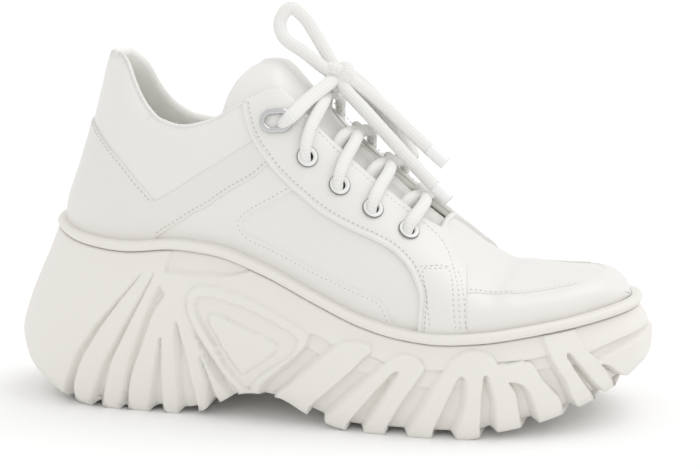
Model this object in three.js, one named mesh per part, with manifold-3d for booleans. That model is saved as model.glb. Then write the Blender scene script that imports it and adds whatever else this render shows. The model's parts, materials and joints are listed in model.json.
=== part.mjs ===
// Platform lace-up sneaker, right shoe, standing empty on its lugged wedge sole.
// Millimetres. +X to the toe, +Y to the inner side of the foot, +Z up. The origin is on the ground
// under the middle of the sole.
import * as THREE from 'three';
import { mergeVertices } from 'three/addons/utils/BufferGeometryUtils.js';
import Module from 'manifold-3d';

const wasm = await Module();
wasm.setup();

// Driving sizes
const soleLength = 292;
const upperLength = 262;
const upperBack = 20; // from the sole's furthest point back to the upper's
const ballWidth = 96;
const ballSeat = 46; // height of the rim's top at the ball of the foot
const heelDrop = 33; // how much higher the heel is carried
const toeSpring = 14; // rise of the rim from the ball to the toe
const instepRise = 76;
const toeRise = 16;
const tabHeight = 84; // heel tab above the heel seat
const tabLean = 25;
const wall = 2.4;
const gap = 0.3;
const overlayWall = 1.3;
const rimHeight = 6;
const rimLedge = 3.4;
const rimBulge = 1.6;
const insoleHeight = 4;
const tongueWall = 4.5;
const tongueDrop = 1.3; // the tongue sits this far under the upper's inside
const ribRaise = 2.8;
const stepRaise = 1.4;
const lugRaise = 1.2;
const treadDepth = 3;
const heelFlare = 17.5;
const toeFlare = 5;
const sideFlare = 5;
const heelRocker = 16;
const toeRocker = 8;
const archHeight = 14;
const toeLift = 22;
const eyeletHole = 2.6;
const eyeletFlange = 4.9;
const eyeletHeight = 1.2;
const laceRadius = 2.5;
const knotRadius = 6.6;
const laceSlant = 0.012; // how far a strand runs along the throat while it crosses it
const loopPlate = 1.6; // thickness of the metal lace loops
const loopLength = 15;
const loopWidth = 11;
const loopTurn = -0.75;

const soleBack = -soleLength / 2;
const upperHeel = soleBack + upperBack;
const heelSeat = ballSeat + heelDrop;

// The rim's top line. u: share of the sole's length from the heel. heel, toe: shares of the drop and the spring.
const rimTable = [
  { u: 0.0, heel: 1.21, toe: 0 },
  { u: 0.06, heel: 1.13, toe: 0 },
  { u: 0.12, heel: 1.02, toe: 0 },
  { u: 0.2, heel: 0.965, toe: 0 },
  { u: 0.28, heel: 1.03, toe: 0 },
  { u: 0.34, heel: 0.99, toe: 0 },
  { u: 0.42, heel: 0.775, toe: 0 },
  { u: 0.5, heel: 0.458, toe: 0 },
  { u: 0.58, heel: 0.172, toe: 0 },
  { u: 0.64, heel: 0.045, toe: 0 },
  { u: 0.7, heel: 0, toe: 0 },
  { u: 0.78, heel: 0, toe: 0.19 },
  { u: 0.86, heel: 0, toe: 0.55 },
  { u: 0.94, heel: 0, toe: 0.85 },
  { u: 1.0, heel: 0, toe: 1.0 },
];

// The last. s: share of the upper's length. instep, toe: crest above the rim, as shares of the two rises.
// outer, inner: half widths, and mid: the middle line, as shares of the ball width. round: fullness of the section.
const lastTable = [
  { s: 0.0, instep: 1.21, toe: 0, outer: 0.345, inner: 0.345, mid: 0, round: 1.45 },
  { s: 0.1, instep: 1.27, toe: 0, outer: 0.345, inner: 0.34, mid: 0, round: 1.5 },
  { s: 0.2, instep: 1.2, toe: 0, outer: 0.355, inner: 0.34, mid: 0, round: 1.8 },
  { s: 0.3, instep: 1.1, toe: 0, outer: 0.375, inner: 0.345, mid: 0.005, round: 2.15 },
  { s: 0.35, instep: 1.13, toe: 0, outer: 0.39, inner: 0.345, mid: 0.01, round: 2.25 },
  { s: 0.4, instep: 1.17, toe: 0, outer: 0.41, inner: 0.35, mid: 0.015, round: 2.3 },
  { s: 0.45, instep: 1.09, toe: 0, outer: 0.43, inner: 0.36, mid: 0.02, round: 2.2 },
  { s: 0.5, instep: 0.945, toe: 0, outer: 0.45, inner: 0.375, mid: 0.02, round: 2.1 },
  { s: 0.6, instep: 0.745, toe: 0, outer: 0.485, inner: 0.43, mid: 0.02, round: 1.95 },
  { s: 0.7, instep: 0.41, toe: 0.45, outer: 0.5, inner: 0.49, mid: 0.02, round: 2.0 },
  { s: 0.75, instep: 0.17, toe: 0.85, outer: 0.5, inner: 0.505, mid: 0.025, round: 2.15 },
  { s: 0.8, instep: 0, toe: 1.12, outer: 0.49, inner: 0.505, mid: 0.03, round: 2.3 },
  { s: 0.9, instep: 0, toe: 0.8, outer: 0.455, inner: 0.485, mid: 0.05, round: 2.5 },
  { s: 0.96, instep: 0, toe: 0.52, outer: 0.43, inner: 0.47, mid: 0.07, round: 2.5 },
  { s: 1.0, instep: 0, toe: 0, outer: 0.41, inner: 0.45, mid: 0.08, round: 2.5 },
];

// How far the heel's back line leans forward. h: share of the tab's height.
const leanTable = [
  { h: 0.0, lean: 0 },
  { h: 0.12, lean: 0.06 },
  { h: 0.33, lean: 0.3 },
  { h: 0.55, lean: 0.53 },
  { h: 0.75, lean: 0.7 },
  { h: 0.9, lean: 0.82 },
  { h: 1.15, lean: 1.15 },
];

// The topline from the side. s: share of the upper's length. outer, inner: each side's height over the heel seat, as
// shares of the tab's height.
const toplineTable = [
  { s: 0.03, outer: 0.84, inner: 0.84 },
  { s: 0.08, outer: 0.95, inner: 0.95 },
  { s: 0.105, outer: 0.97, inner: 0.965 },
  { s: 0.119, outer: 0.955, inner: 0.925 },
  { s: 0.132, outer: 0.92, inner: 0.87 },
  { s: 0.148, outer: 0.84, inner: 0.74 },
  { s: 0.165, outer: 0.76, inner: 0.655 },
  { s: 0.183, outer: 0.695, inner: 0.605 },
  { s: 0.203, outer: 0.65, inner: 0.57 },
  { s: 0.242, outer: 0.625, inner: 0.55 },
  { s: 0.287, outer: 0.655, inner: 0.585 },
  { s: 0.335, outer: 0.735, inner: 0.67 },
  { s: 0.363, outer: 0.778, inner: 0.73 },
  { s: 0.395, outer: 0.818, inner: 0.785 },
  { s: 0.43, outer: 0.825, inner: 0.81 },
  { s: 0.5, outer: 0.86, inner: 0.85 },
];

// The throat's edges from above. s: share of the upper's length. half: half width as a share of the ball width.
const throatTable = [
  { s: 0.26, half: 0.27 },
  { s: 0.42, half: 0.25 },
  { s: 0.47, half: 0.245 },
  { s: 0.516, half: 0.222 },
  { s: 0.562, half: 0.22 },
  { s: 0.613, half: 0.21 },
  { s: 0.66, half: 0.19 },
  { s: 0.68, half: 0.165 },
];

// The sole's side from the rim down to the ground. t: share of the side's height.
// heel, toe, side: how far it stands out of the rim, as shares of the three flares. roll: shares of the two rockers.
const sideTable = [
  { t: 0.0, heel: 0, toe: 0, side: 0, roll: 0 },
  { t: 0.14, heel: 0.2, toe: 0.5, side: 0.35, roll: 0 },
  { t: 0.26, heel: 0.4, toe: 0.8, side: 0.65, roll: 0 },
  { t: 0.5, heel: 0.77, toe: 1.0, side: 1.0, roll: 0 },
  { t: 0.72, heel: 1.0, toe: 1.0, side: 1.0, roll: 0.03 },
  { t: 0.86, heel: 1.0, toe: 0.9, side: 0.85, roll: 0.15 },
  { t: 0.95, heel: 1.0, toe: 0.8, side: 0.65, roll: 0.5 },
  { t: 1.0, heel: 1.0, toe: 0.8, side: 0.45, roll: 1.0 },
];

// The underside. u: share of the sole's length. arch, lift: shares of the arch's height and the toe's lift.
const groundTable = [
  { u: 0.0, arch: 0.65, lift: 0 },
  { u: 0.05, arch: 0.35, lift: 0 },
  { u: 0.096, arch: 0.1, lift: 0 },
  { u: 0.14, arch: 0, lift: 0 },
  { u: 0.3, arch: 0, lift: 0 },
  { u: 0.345, arch: 0.42, lift: 0 },
  { u: 0.385, arch: 0.9, lift: 0 },
  { u: 0.41, arch: 1.0, lift: 0 },
  { u: 0.45, arch: 0.92, lift: 0 },
  { u: 0.5, arch: 0.42, lift: 0 },
  { u: 0.55, arch: 0.07, lift: 0 },
  { u: 0.575, arch: 0, lift: 0 },
  { u: 0.75, arch: 0, lift: 0 },
  { u: 0.784, arch: 0, lift: 0.13 },
  { u: 0.825, arch: 0, lift: 0.23 },
  { u: 0.86, arch: 0, lift: 0.34 },
  { u: 0.894, arch: 0, lift: 0.5 },
  { u: 0.928, arch: 0, lift: 0.68 },
  { u: 0.97, arch: 0, lift: 1.0 },
  { u: 1.0, arch: 0, lift: 1.2 },
];

// Raised shapes of the sole's side, and the slots in them. Each pair is a share of the sole's length from the heel
// and a share of the heel seat's height.
const heelBlock = [
  [-0.05, 1.2], [0.285, 1.2], [0.281, 0.95], [0.27, 0.85], [0.25, 0.7], [0.229, 0.52], [0.209, 0.3],
  [0.192, 0.04], [0.192, -0.1], [-0.05, -0.1],
];
const heelSlots = [
  [[0.233, 0.83], [0.192, 0.645], [0.158, 0.47], [0.127, 0.28], [0.11, 0.1], [0.11, -0.1], [0.095, -0.1],
    [0.097, 0.1], [0.12, 0.31], [0.154, 0.5]],
  [[0.25, 0.83], [0.209, 0.52], [0.178, 0.29], [0.158, 0.03], [0.158, -0.1], [0.143, -0.1], [0.144, 0.05],
    [0.162, 0.24], [0.196, 0.48]],
];
const fanBlock = [
  [0.3, 0.765], [0.288, 0.76], [0.276, 0.71], [0.26, 0.63], [0.24, 0.46], [0.22, 0.25], [0.206, 0.05],
  [0.206, -0.1], [0.372, -0.1], [0.372, 0.14], [0.36, 0.23], [0.335, 0.4], [0.318, 0.53], [0.308, 0.7],
];
const fanSlots = [
  [[0.26, 0.47], [0.24, 0.06], [0.24, -0.1], [0.26, -0.1]],
  [[0.284, 0.57], [0.288, 0.08], [0.288, -0.1], [0.317, -0.1], [0.317, 0.07], [0.298, 0.38]],
  [[0.322, 0.38], [0.335, 0.18], [0.335, -0.1], [0.352, -0.1], [0.352, 0.08]],
];
const loopBand = [
  [0.414, 0.18], [0.366, 0.42], [0.328, 0.6], [0.312, 0.71], [0.318, 0.79], [0.339, 0.81], [0.39, 0.755],
  [0.455, 0.66], [0.496, 0.56], [0.5, 0.5], [0.462, 0.38], [0.425, 0.28],
];
const loopHollow = [
  [0.327, 0.7], [0.336, 0.75], [0.353, 0.745], [0.406, 0.665], [0.469, 0.56], [0.481, 0.52], [0.476, 0.47],
  [0.438, 0.39], [0.402, 0.3], [0.388, 0.37], [0.351, 0.55],
];
const loopHeart = [
  [0.346, 0.62], [0.349, 0.66], [0.363, 0.66], [0.407, 0.6], [0.454, 0.52], [0.455, 0.47], [0.425, 0.4],
  [0.394, 0.33], [0.386, 0.35], [0.363, 0.51],
];
const upperBand = [
  [0.28, 1.2], [0.296, 0.86], [0.34, 0.84], [0.39, 0.8], [0.455, 0.71], [0.504, 0.545], [0.541, 0.48],
  [0.606, 0.43], [0.62, 0.41], [0.68, 0.385], [0.712, 0.385], [0.787, 0.44], [0.846, 0.45], [0.873, 0.48],
  [0.914, 0.455], [0.962, 0.53], [1.06, 0.62], [1.06, 1.2],
];
const stepBand = [
  [0.48, 0.62], [0.494, 0.455], [0.52, 0.405], [0.57, 0.34], [0.6, 0.33], [0.682, 0.27], [0.712, 0.28],
  [0.787, 0.36], [0.856, 0.38], [0.89, 0.4], [0.925, 0.39], [0.962, 0.46], [1.06, 0.55], [1.06, 0.8], [0.6, 0.6],
];
const frontLugs = [
  [[0.541, 0.485], [0.558, 0.525], [0.589, 0.525], [0.606, 0.49], [0.568, 0.34], [0.5, 0.1], [0.5, -0.1],
    [0.442, -0.1], [0.442, 0.165], [0.49, 0.31]],
  [[0.623, 0.42], [0.64, 0.47], [0.661, 0.475], [0.682, 0.435], [0.683, 0.38], [0.651, 0.2], [0.623, 0.02],
    [0.623, -0.1], [0.586, -0.1], [0.586, 0.01], [0.613, 0.17], [0.645, 0.37], [0.637, 0.37], [0.603, 0.22],
    [0.562, 0.03], [0.562, -0.1], [0.524, -0.1], [0.524, 0.05], [0.568, 0.22]],
  [[0.705, 0.35], [0.722, 0.46], [0.743, 0.51], [0.77, 0.51], [0.786, 0.48], [0.798, 0.39], [0.82, 0.27],
    [0.825, 0.12], [0.825, -0.1], [0.786, -0.1], [0.789, 0.19], [0.777, 0.37], [0.772, 0.37], [0.765, -0.1],
    [0.728, -0.1], [0.728, 0.02], [0.745, 0.2], [0.746, 0.33], [0.739, 0.37], [0.733, 0.34], [0.712, 0.16],
    [0.695, 0.02], [0.695, -0.1], [0.654, -0.1], [0.654, 0], [0.685, 0.21]],
  [[0.795, 0.44], [0.836, 0.475], [0.846, 0.45], [0.863, 0.34], [0.887, 0.23], [0.887, -0.1], [0.851, -0.1],
    [0.849, 0.19], [0.837, 0.31], [0.823, 0.35], [0.799, 0.35]],
  [[0.853, 0.62], [0.9, 0.7], [0.925, 0.53], [0.945, 0.42], [0.959, 0.31], [0.959, -0.1], [0.941, -0.1],
    [0.94, 0.24], [0.918, 0.38], [0.896, 0.49], [0.893, 0.48], [0.914, 0.35], [0.931, 0.22], [0.931, -0.1],
    [0.907, -0.1], [0.907, 0.18], [0.894, 0.33], [0.87, 0.47]],
  [[0.925, 0.4], [0.962, 0.46], [1.06, 0.6], [1.06, -0.1], [0.97, -0.1], [0.965, 0.28], [0.945, 0.38]],
];

// Overlay outlines from the side. Each pair is a share of the upper's length and of the tab's height over the heel seat,
// so points under the seat are negative.
const eyestayOutline = [
  [0.3, 1.1], [0.351, 0.734], [0.361, 0.669], [0.375, 0.579], [0.393, 0.503], [0.416, 0.418], [0.446, 0.333],
  [0.478, 0.254], [0.512, 0.185], [0.546, 0.132], [0.583, 0.083], [0.614, 0.034], [0.635, -0.014], [0.65, -0.07],
  [0.661, -0.141], [0.668, -0.22], [0.671, -0.6], [0.744, -0.6], [0.744, -0.354], [0.74, -0.21], [0.733, -0.121],
  [0.725, -0.059], [0.7146, 0.001], [0.702, 0.06], [0.69, 0.109], [0.685, 0.2], [0.69, 0.4], [0.6, 1.1],
];
const counterOutline = [
  [-0.05, 0.585], [0.04, 0.585], [0.079, 0.564], [0.131, 0.431], [0.173, 0.296], [0.1985, 0.214], [0.246, 0.304],
  [0.282, 0.38], [0.3215, 0.456], [0.367, 0.548], [0.385, 0.47], [0.402, 0.41], [0.386, 0.393], [0.354, 0.324],
  [0.318, 0.247], [0.281, 0.175], [0.244, 0.101], [0.2, 0.0], [0.196, -0.3], [-0.05, -0.3],
];
const toeGuardOutline = [
  [0.754, -0.172], [0.77, -0.17], [0.801, -0.17], [0.833, -0.166], [0.864, -0.157], [0.894, -0.146],
  [0.923, -0.135], [0.952, -0.126], [1.05, -0.12], [1.05, -0.6], [0.758, -0.6], [0.758, -0.4],
];

// Eyelet places. s: share of the upper's length. v: share of the section from the rim to the crest.
const eyeletTable = [
  { s: 0.465, v: 0.502 },
  { s: 0.52, v: 0.536 },
  { s: 0.577, v: 0.564 },
  { s: 0.637, v: 0.606 },
];
const laceLoopPlace = { s: 0.411, v: 0.517 };

const clamp = (value, low, high) => Math.min(high, Math.max(low, value));
const mix = (a, b, share) => a + (b - a) * share;

// A smooth curve through a table's rows that never overshoots them.
function column(table, key, name) {
  const xs = table.map((row) => row[key]);
  const ys = table.map((row) => row[name]);
  const last = xs.length - 1;
  const rise = xs.slice(1).map((x, i) => (ys[i + 1] - ys[i]) / (x - xs[i]));
  const slope = xs.map((x, i) => {
    if (i === 0) return rise[0];
    if (i === last) return rise[last - 1];
    if (rise[i - 1] * rise[i] <= 0) return 0;
    return (2 * rise[i - 1] * rise[i]) / (rise[i - 1] + rise[i]);
  });
  return (x) => {
    const at = clamp(x, xs[0], xs[last]);
    let i = 0;
    while (i < last - 1 && at > xs[i + 1]) i += 1;
    const width = xs[i + 1] - xs[i];
    const t = (at - xs[i]) / width;
    const a = ys[i] * (1 + 2 * t) * (1 - t) ** 2 + ys[i + 1] * (3 - 2 * t) * t ** 2;
    return a + width * (slope[i] * t * (1 - t) ** 2 - slope[i + 1] * t ** 2 * (1 - t));
  };
}

const rimHeel = column(rimTable, 'u', 'heel');
const rimToe = column(rimTable, 'u', 'toe');
const crestInstep = column(lastTable, 's', 'instep');
const crestToe = column(lastTable, 's', 'toe');
const halfOuter = column(lastTable, 's', 'outer');
const halfInner = column(lastTable, 's', 'inner');
const middle = column(lastTable, 's', 'mid');
const fullness = column(lastTable, 's', 'round');
const backLean = column(leanTable, 'h', 'lean');
const sideHeel = column(sideTable, 't', 'heel');
const sideToe = column(sideTable, 't', 'toe');
const sideOut = column(sideTable, 't', 'side');
const sideRoll = column(sideTable, 't', 'roll');
const groundArch = column(groundTable, 'u', 'arch');
const groundLift = column(groundTable, 'u', 'lift');
const throatHalf = column(throatTable, 's', 'half');

function seatHeight(x) {
  const u = (x - soleBack) / soleLength;
  return ballSeat + heelDrop * rimHeel(u) + toeSpring * rimToe(u);
}

// Rounds the plan outline off at the heel and the toe: 1 along the middle, 0 at both ends.
function endRound(s, heelSpan, toeSpan) {
  const back = clamp(1 - s / heelSpan, 0, 1);
  const front = clamp(1 - (1 - s) / toeSpan, 0, 1);
  return Math.sqrt(1 - back ** 2.1) * Math.sqrt(1 - front ** 2.3);
}

// Stations bunched towards the heel and the toe, where the outline turns.
function stations(count) {
  const bunch = 0.8;
  return Array.from({ length: count + 1 }, (_, i) => {
    const t = i / count;
    return t - (bunch * Math.sin(2 * Math.PI * t)) / (2 * Math.PI);
  });
}

function solidFrom(geometry) {
  const bare = geometry.clone();
  bare.deleteAttribute('normal');
  bare.deleteAttribute('uv');
  const merged = mergeVertices(bare, 1e-4);
  const index = merged.index.array;
  const kept = [];
  for (let i = 0; i < index.length; i += 3) {
    const [a, b, c] = [index[i], index[i + 1], index[i + 2]];
    if (a !== b && b !== c && c !== a) kept.push(a, b, c);
  }
  const mesh = new wasm.Mesh({
    numProp: 3,
    vertProperties: new Float32Array(merged.attributes.position.array),
    triVerts: new Uint32Array(kept),
  });
  return new wasm.Manifold(mesh);
}

function geometryFrom(solid, smooth = 0.07) {
  const mesh = solid.simplify(smooth).getMesh();
  const geometry = new THREE.BufferGeometry();
  geometry.setAttribute('position', new THREE.BufferAttribute(new Float32Array(mesh.vertProperties), 3));
  geometry.setIndex(new THREE.BufferAttribute(new Uint32Array(mesh.triVerts), 1));
  geometry.computeVertexNormals();
  return geometry;
}

// A closed form from rows of points, one row for each level and side. pointAt(level, station, side) gives [x, y, z],
// with side -1 for the outer side of the foot and 1 for the inner. The levels run from 0, the lowest, to 1.
function closedForm(levels, stationCount, pointAt) {
  const places = stations(stationCount);
  const levelCount = levels.length - 1;
  const positions = [];
  const at = new Map();
  for (let level = 0; level <= levelCount; level += 1) {
    for (let i = 0; i <= stationCount; i += 1) {
      for (const side of [-1, 1]) {
        at.set(`${level},${i},${side}`, positions.length / 3);
        positions.push(...pointAt(levels[level], places[i], side));
      }
    }
  }
  const faces = [];
  const quad = (a, b, c, d) => faces.push(a, b, c, a, c, d);
  const corner = (l, k, side) => at.get(`${l},${k},${side}`);
  for (let level = 0; level < levelCount; level += 1) {
    const last = stationCount;
    quad(corner(level, 0, 1), corner(level, 0, -1), corner(level + 1, 0, -1), corner(level + 1, 0, 1));
    quad(corner(level, last, -1), corner(level, last, 1), corner(level + 1, last, 1), corner(level + 1, last, -1));
  }
  for (let i = 0; i < stationCount; i += 1) {
    for (let level = 0; level < levelCount; level += 1) {
      quad(corner(level, i, -1), corner(level, i + 1, -1), corner(level + 1, i + 1, -1), corner(level + 1, i, -1));
      quad(corner(level, i + 1, 1), corner(level, i, 1), corner(level + 1, i, 1), corner(level + 1, i + 1, 1));
    }
    const top = levelCount;
    quad(corner(0, i, 1), corner(0, i + 1, 1), corner(0, i + 1, -1), corner(0, i, -1));
    quad(corner(top, i, -1), corner(top, i + 1, -1), corner(top, i + 1, 1), corner(top, i, 1));
  }
  const geometry = new THREE.BufferGeometry();
  geometry.setAttribute('position', new THREE.BufferAttribute(new Float32Array(positions), 3));
  geometry.setIndex(faces);
  return solidFrom(geometry);
}

// A prism from a side view outline of [x, z] points, running from y = from to y = to.
function sidePrism(points, from, to) {
  const shape = new THREE.Shape(points.map(([x, z]) => new THREE.Vector2(x, z)));
  const geometry = new THREE.ExtrudeGeometry(shape, { depth: to - from, bevelEnabled: false });
  geometry.rotateX(Math.PI / 2);
  geometry.translate(0, to, 0);
  return solidFrom(geometry);
}

// A prism from a plan outline of [x, y] points, running up from z = from to z = to.
function planPrism(points, from, to) {
  const shape = new THREE.Shape(points.map(([x, y]) => new THREE.Vector2(x, y)));
  const geometry = new THREE.ExtrudeGeometry(shape, { depth: to - from, bevelEnabled: false });
  geometry.translate(0, 0, from);
  return solidFrom(geometry);
}

// A point of the upper's form, inset from its outside. v runs from the rim, 0, to the crest, 1.
const bellyShare = 0.16;
const bellyHeight = 0.2;
const footTuck = 1.5;
const heelSpan = 0.14;
const toeSpan = 0.31;
function lastPoint(s, v, side, inset = 0, drop = 0) {
  const length = upperLength - 2 * inset;
  const flatX = upperHeel + inset + length * s;
  const seat = seatHeight(flatX) + 1.8 * gap;
  const foot = seat - drop;
  const rise = instepRise * crestInstep(s) + toeRise * crestToe(s);
  const crest = Math.max(seat, seat + rise - inset);
  const half = ballWidth * (side < 0 ? halfOuter(s) : halfInner(s)) - inset;
  const width = half * endRound(s, heelSpan, toeSpan);
  const belly = seat + Math.min(bellyHeight * rise, 0.45 * (crest - seat));
  let y = width;
  let z = foot;
  if (v <= bellyShare) {
    const t = v / bellyShare;
    y = width - footTuck * Math.min(1, width / 12) * (1 - t) ** 2;
    z = mix(foot, belly, t);
  } else {
    const turn = ((v - bellyShare) / (1 - bellyShare)) * (Math.PI / 2);
    y = width * Math.cos(turn) ** (2 / fullness(s));
    z = belly + (crest - belly) * Math.sin(turn) ** (2 / fullness(s));
  }
  if (v >= 1) y = 0;
  const height = Math.max(0, (z - heelSeat) / tabHeight);
  const fade = clamp(1 - s / 0.34, 0, 1) ** 1.3;
  const x = flatX + tabLean * backLean(height) * fade;
  return [x, ballWidth * middle(s) + side * y, z];
}

const lastLevels = [0, 0.08, 0.16, 0.28, 0.4, 0.52, 0.63, 0.74, 0.85, 0.93, 1];
const lastForm = (inset, drop) =>
  closedForm(lastLevels, 26, (level, s, side) => lastPoint(s, level, side, inset, drop));

// The outward direction of the upper's form at a place on it.
function lastFrame(s, v, side) {
  const step = 0.004;
  const point = new THREE.Vector3(...lastPoint(s, v, side));
  const along = new THREE.Vector3(...lastPoint(s + step, v, side)).sub(point);
  const up = new THREE.Vector3(...lastPoint(s, v + step, side)).sub(point);
  const out = along.clone().cross(up).multiplyScalar(-side).normalize();
  return { point, along: along.normalize(), out };
}

// Half of the sole's plan outline at a share of its length, at the rim.
const soleHeelSpan = 0.15;
const soleToeSpan = 0.31;
function rimHalf(s, side) {
  const half = ballWidth * (side < 0 ? halfOuter(s) : halfInner(s)) + rimLedge;
  return half * endRound(s, soleHeelSpan, soleToeSpan);
}

function rimPoint(t, s, side, inset = 0) {
  const back = upperHeel - rimLedge + inset;
  const length = upperLength + 2 * (rimLedge - inset);
  const bulge = rimBulge * Math.sin(Math.PI * t) ** 0.7;
  const x = back - bulge + (length + 2 * bulge) * s;
  const half = rimHalf(s, side) + (bulge - inset) * Math.min(1, 4 * endRound(s, soleHeelSpan, soleToeSpan));
  const z = seatHeight(x) - rimHeight + rimHeight * t;
  return [x, ballWidth * middle(s) + side * Math.max(0, half), z];
}

function groundHeight(x) {
  const u = (x - soleBack) / soleLength;
  return archHeight * groundArch(u) + toeLift * groundLift(u);
}

// A point of the sole's side. t runs from the ground, 0, up to the rim, 1.
function solePoint(t, s, side, proud, lift) {
  const down = 1 - t;
  const back = upperHeel - rimLedge - heelFlare * sideHeel(down) + heelRocker * sideRoll(down) - proud;
  const front = upperHeel + upperLength + rimLedge + toeFlare * sideToe(down) - toeRocker * sideRoll(down) + proud;
  const x = mix(back, front, s);
  const round = endRound(s, soleHeelSpan, soleToeSpan);
  const half = rimHalf(s, side) + (sideFlare * sideOut(down) + proud) * Math.min(1, 3 * round);
  const low = groundHeight(x) + lift;
  const high = seatHeight(x) - rimHeight - 2 * gap;
  return [x, ballWidth * middle(s) + side * Math.max(0, half), mix(low, high, t)];
}

const soleLevels = [0, 0.05, 0.14, 0.28, 0.5, 0.74, 0.87, 1];
const soleForm = (proud, lift) =>
  closedForm(soleLevels, 24, (level, s, side) => solePoint(level, s, side, proud, lift));

const soleShape = (points) =>
  points.map(([u, h]) => [soleBack + soleLength * u, heelSeat * h]);
const upperShape = (points) =>
  points.map(([s, h]) => [upperHeel + upperLength * s, heelSeat + tabHeight * h]);

const wide = 90;
const through = (points) => sidePrism(soleShape(points), -wide, wide);
const joined = (solids) => solids.reduce((all, one) => all.add(one));

function buildOutsole() {
  const level = [
    through(heelBlock).subtract(joined(heelSlots.map(through))),
    through(fanBlock).subtract(joined(fanSlots.map(through))),
    through(loopBand).subtract(through(loopHollow)),
    through(loopHeart),
    through(upperBand),
  ];
  return joined([
    soleForm(-ribRaise, treadDepth),
    soleForm(-stepRaise, treadDepth).intersect(through(stepBand)),
    soleForm(0, 0).intersect(joined(level)),
    soleForm(lugRaise, 0).intersect(joined(frontLugs.map(through))),
  ]);
}

function buildMidsole() {
  const levels = [0, 0.25, 0.75, 1];
  return closedForm(levels, 36, (t, s, side) => rimPoint(t, s, side));
}

function buildInsole() {
  const slab = closedForm([0, 1], 30, (level, s, side) => {
    const x = upperHeel + upperLength * s;
    return [x, side * ballWidth, seatHeight(x) + 2 * gap + level * insoleHeight];
  });
  return lastForm(wall + 1.5 * gap, 2).intersect(slab);
}

// What is cut away over the collar's topline, and down through the throat.
function collarCut() {
  const over = [[0.5, 2], [-0.1, 2], [-0.1, 0.84]];
  const above = (name) => upperShape([...toplineTable.map((row) => [row.s, row[name]]), ...over]);
  return sidePrism(above('outer'), -wide, 0).add(sidePrism(above('inner'), 0, wide));
}

function throatCut() {
  return plankOver([0.26, 0.35, 0.42, 0.47, 0.52, 0.56, 0.61, 0.66, 0.68], throatHalf);
}

function eyeletPlaces() {
  return [-1, 1].flatMap((side) => eyeletTable.map((row) => ({ ...row, side })));
}

// A turned piece set on the upper's outside, with its axis along the outward direction.
function onUpper(geometry, place, lift) {
  const { point, along, out } = lastFrame(place.s, place.v, place.side);
  const basis = new THREE.Matrix4().makeBasis(along, out, along.clone().cross(out).normalize());
  basis.setPosition(point.clone().addScaledVector(out, lift));
  return geometry.clone().applyMatrix4(basis);
}

function buildUpper(cuts, holes) {
  const shell = lastForm(0, 0).subtract(lastForm(wall, 2));
  return shell.subtract(cuts).subtract(holes);
}

function overlay(outline, from, to, cuts) {
  const layer = lastForm(-gap - overlayWall, 0).subtract(lastForm(-gap, 2));
  return layer.intersect(sidePrism(upperShape(outline), from, to)).subtract(cuts);
}

// The tongue's outline from the side, in the same shares as the overlays', and its half width as a share of the ball width.
const tongueOutline = [
  [0.262, 0.36], [0.292, 0.68], [0.305, 0.775], [0.324, 0.845], [0.35, 0.91], [0.38, 0.96], [0.4, 0.99],
  [0.43, 1.2], [0.75, 1.2], [0.75, -0.1], [0.5, 0.1],
];
const tongueTable = [
  { s: 0.24, half: 0.31 },
  { s: 0.4, half: 0.31 },
  { s: 0.5, half: 0.27 },
  { s: 0.6, half: 0.245 },
  { s: 0.715, half: 0.22 },
];
const tongueHalf = column(tongueTable, 's', 'half');

function plankOver(rows, half) {
  const edge = (side) => rows.map((s) => {
    const x = upperHeel + upperLength * s;
    return [x, ballWidth * (middle(s) + side * half(s))];
  });
  return planPrism([...edge(-1), ...edge(1).reverse()], ballSeat, heelSeat + 2 * tabHeight);
}

function buildTongue() {
  const under = wall + gap + tongueDrop;
  const layer = lastForm(under, 0).subtract(lastForm(under + tongueWall, 2));
  const plank = plankOver([0.24, 0.4, 0.5, 0.6, 0.715], tongueHalf);
  return layer.intersect(plank).intersect(sidePrism(upperShape(tongueOutline), -wide, wide));
}

function buildEyelet(place) {
  const outer = eyeletFlange;
  const profile = [
    [eyeletHole, 0], [outer, 0], [outer, 0.5 * eyeletHeight], [outer - 0.9, eyeletHeight],
    [eyeletHole + 0.3, eyeletHeight], [eyeletHole, 0],
  ].map(([r, h]) => new THREE.Vector2(r, h));
  return onUpper(new THREE.LatheGeometry(profile, 10), place, 3 * gap + overlayWall);
}

// A point over the upper, at a share of its length and a distance across from its middle line.
function overUpper(s, across, height) {
  const side = across < 0 ? -1 : 1;
  let low = bellyShare;
  let high = 1;
  for (let i = 0; i < 24; i += 1) {
    const v = (low + high) / 2;
    const y = lastPoint(s, v, side, -height)[1] - ballWidth * middle(s);
    if (Math.abs(y) > Math.abs(across)) low = v;
    else high = v;
  }
  return new THREE.Vector3(...lastPoint(s, low, side, -height));
}

function cordFrom(points, steps, radius = laceRadius) {
  const circle = new THREE.Shape();
  circle.absarc(0, 0, radius, 0, 2 * Math.PI);
  const path = new THREE.CatmullRomCurve3(points, false, 'centripetal');
  const options = { steps, bevelEnabled: false, extrudePath: path, curveSegments: 4 };
  return solidFrom(new THREE.ExtrudeGeometry(circle, options));
}

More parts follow.
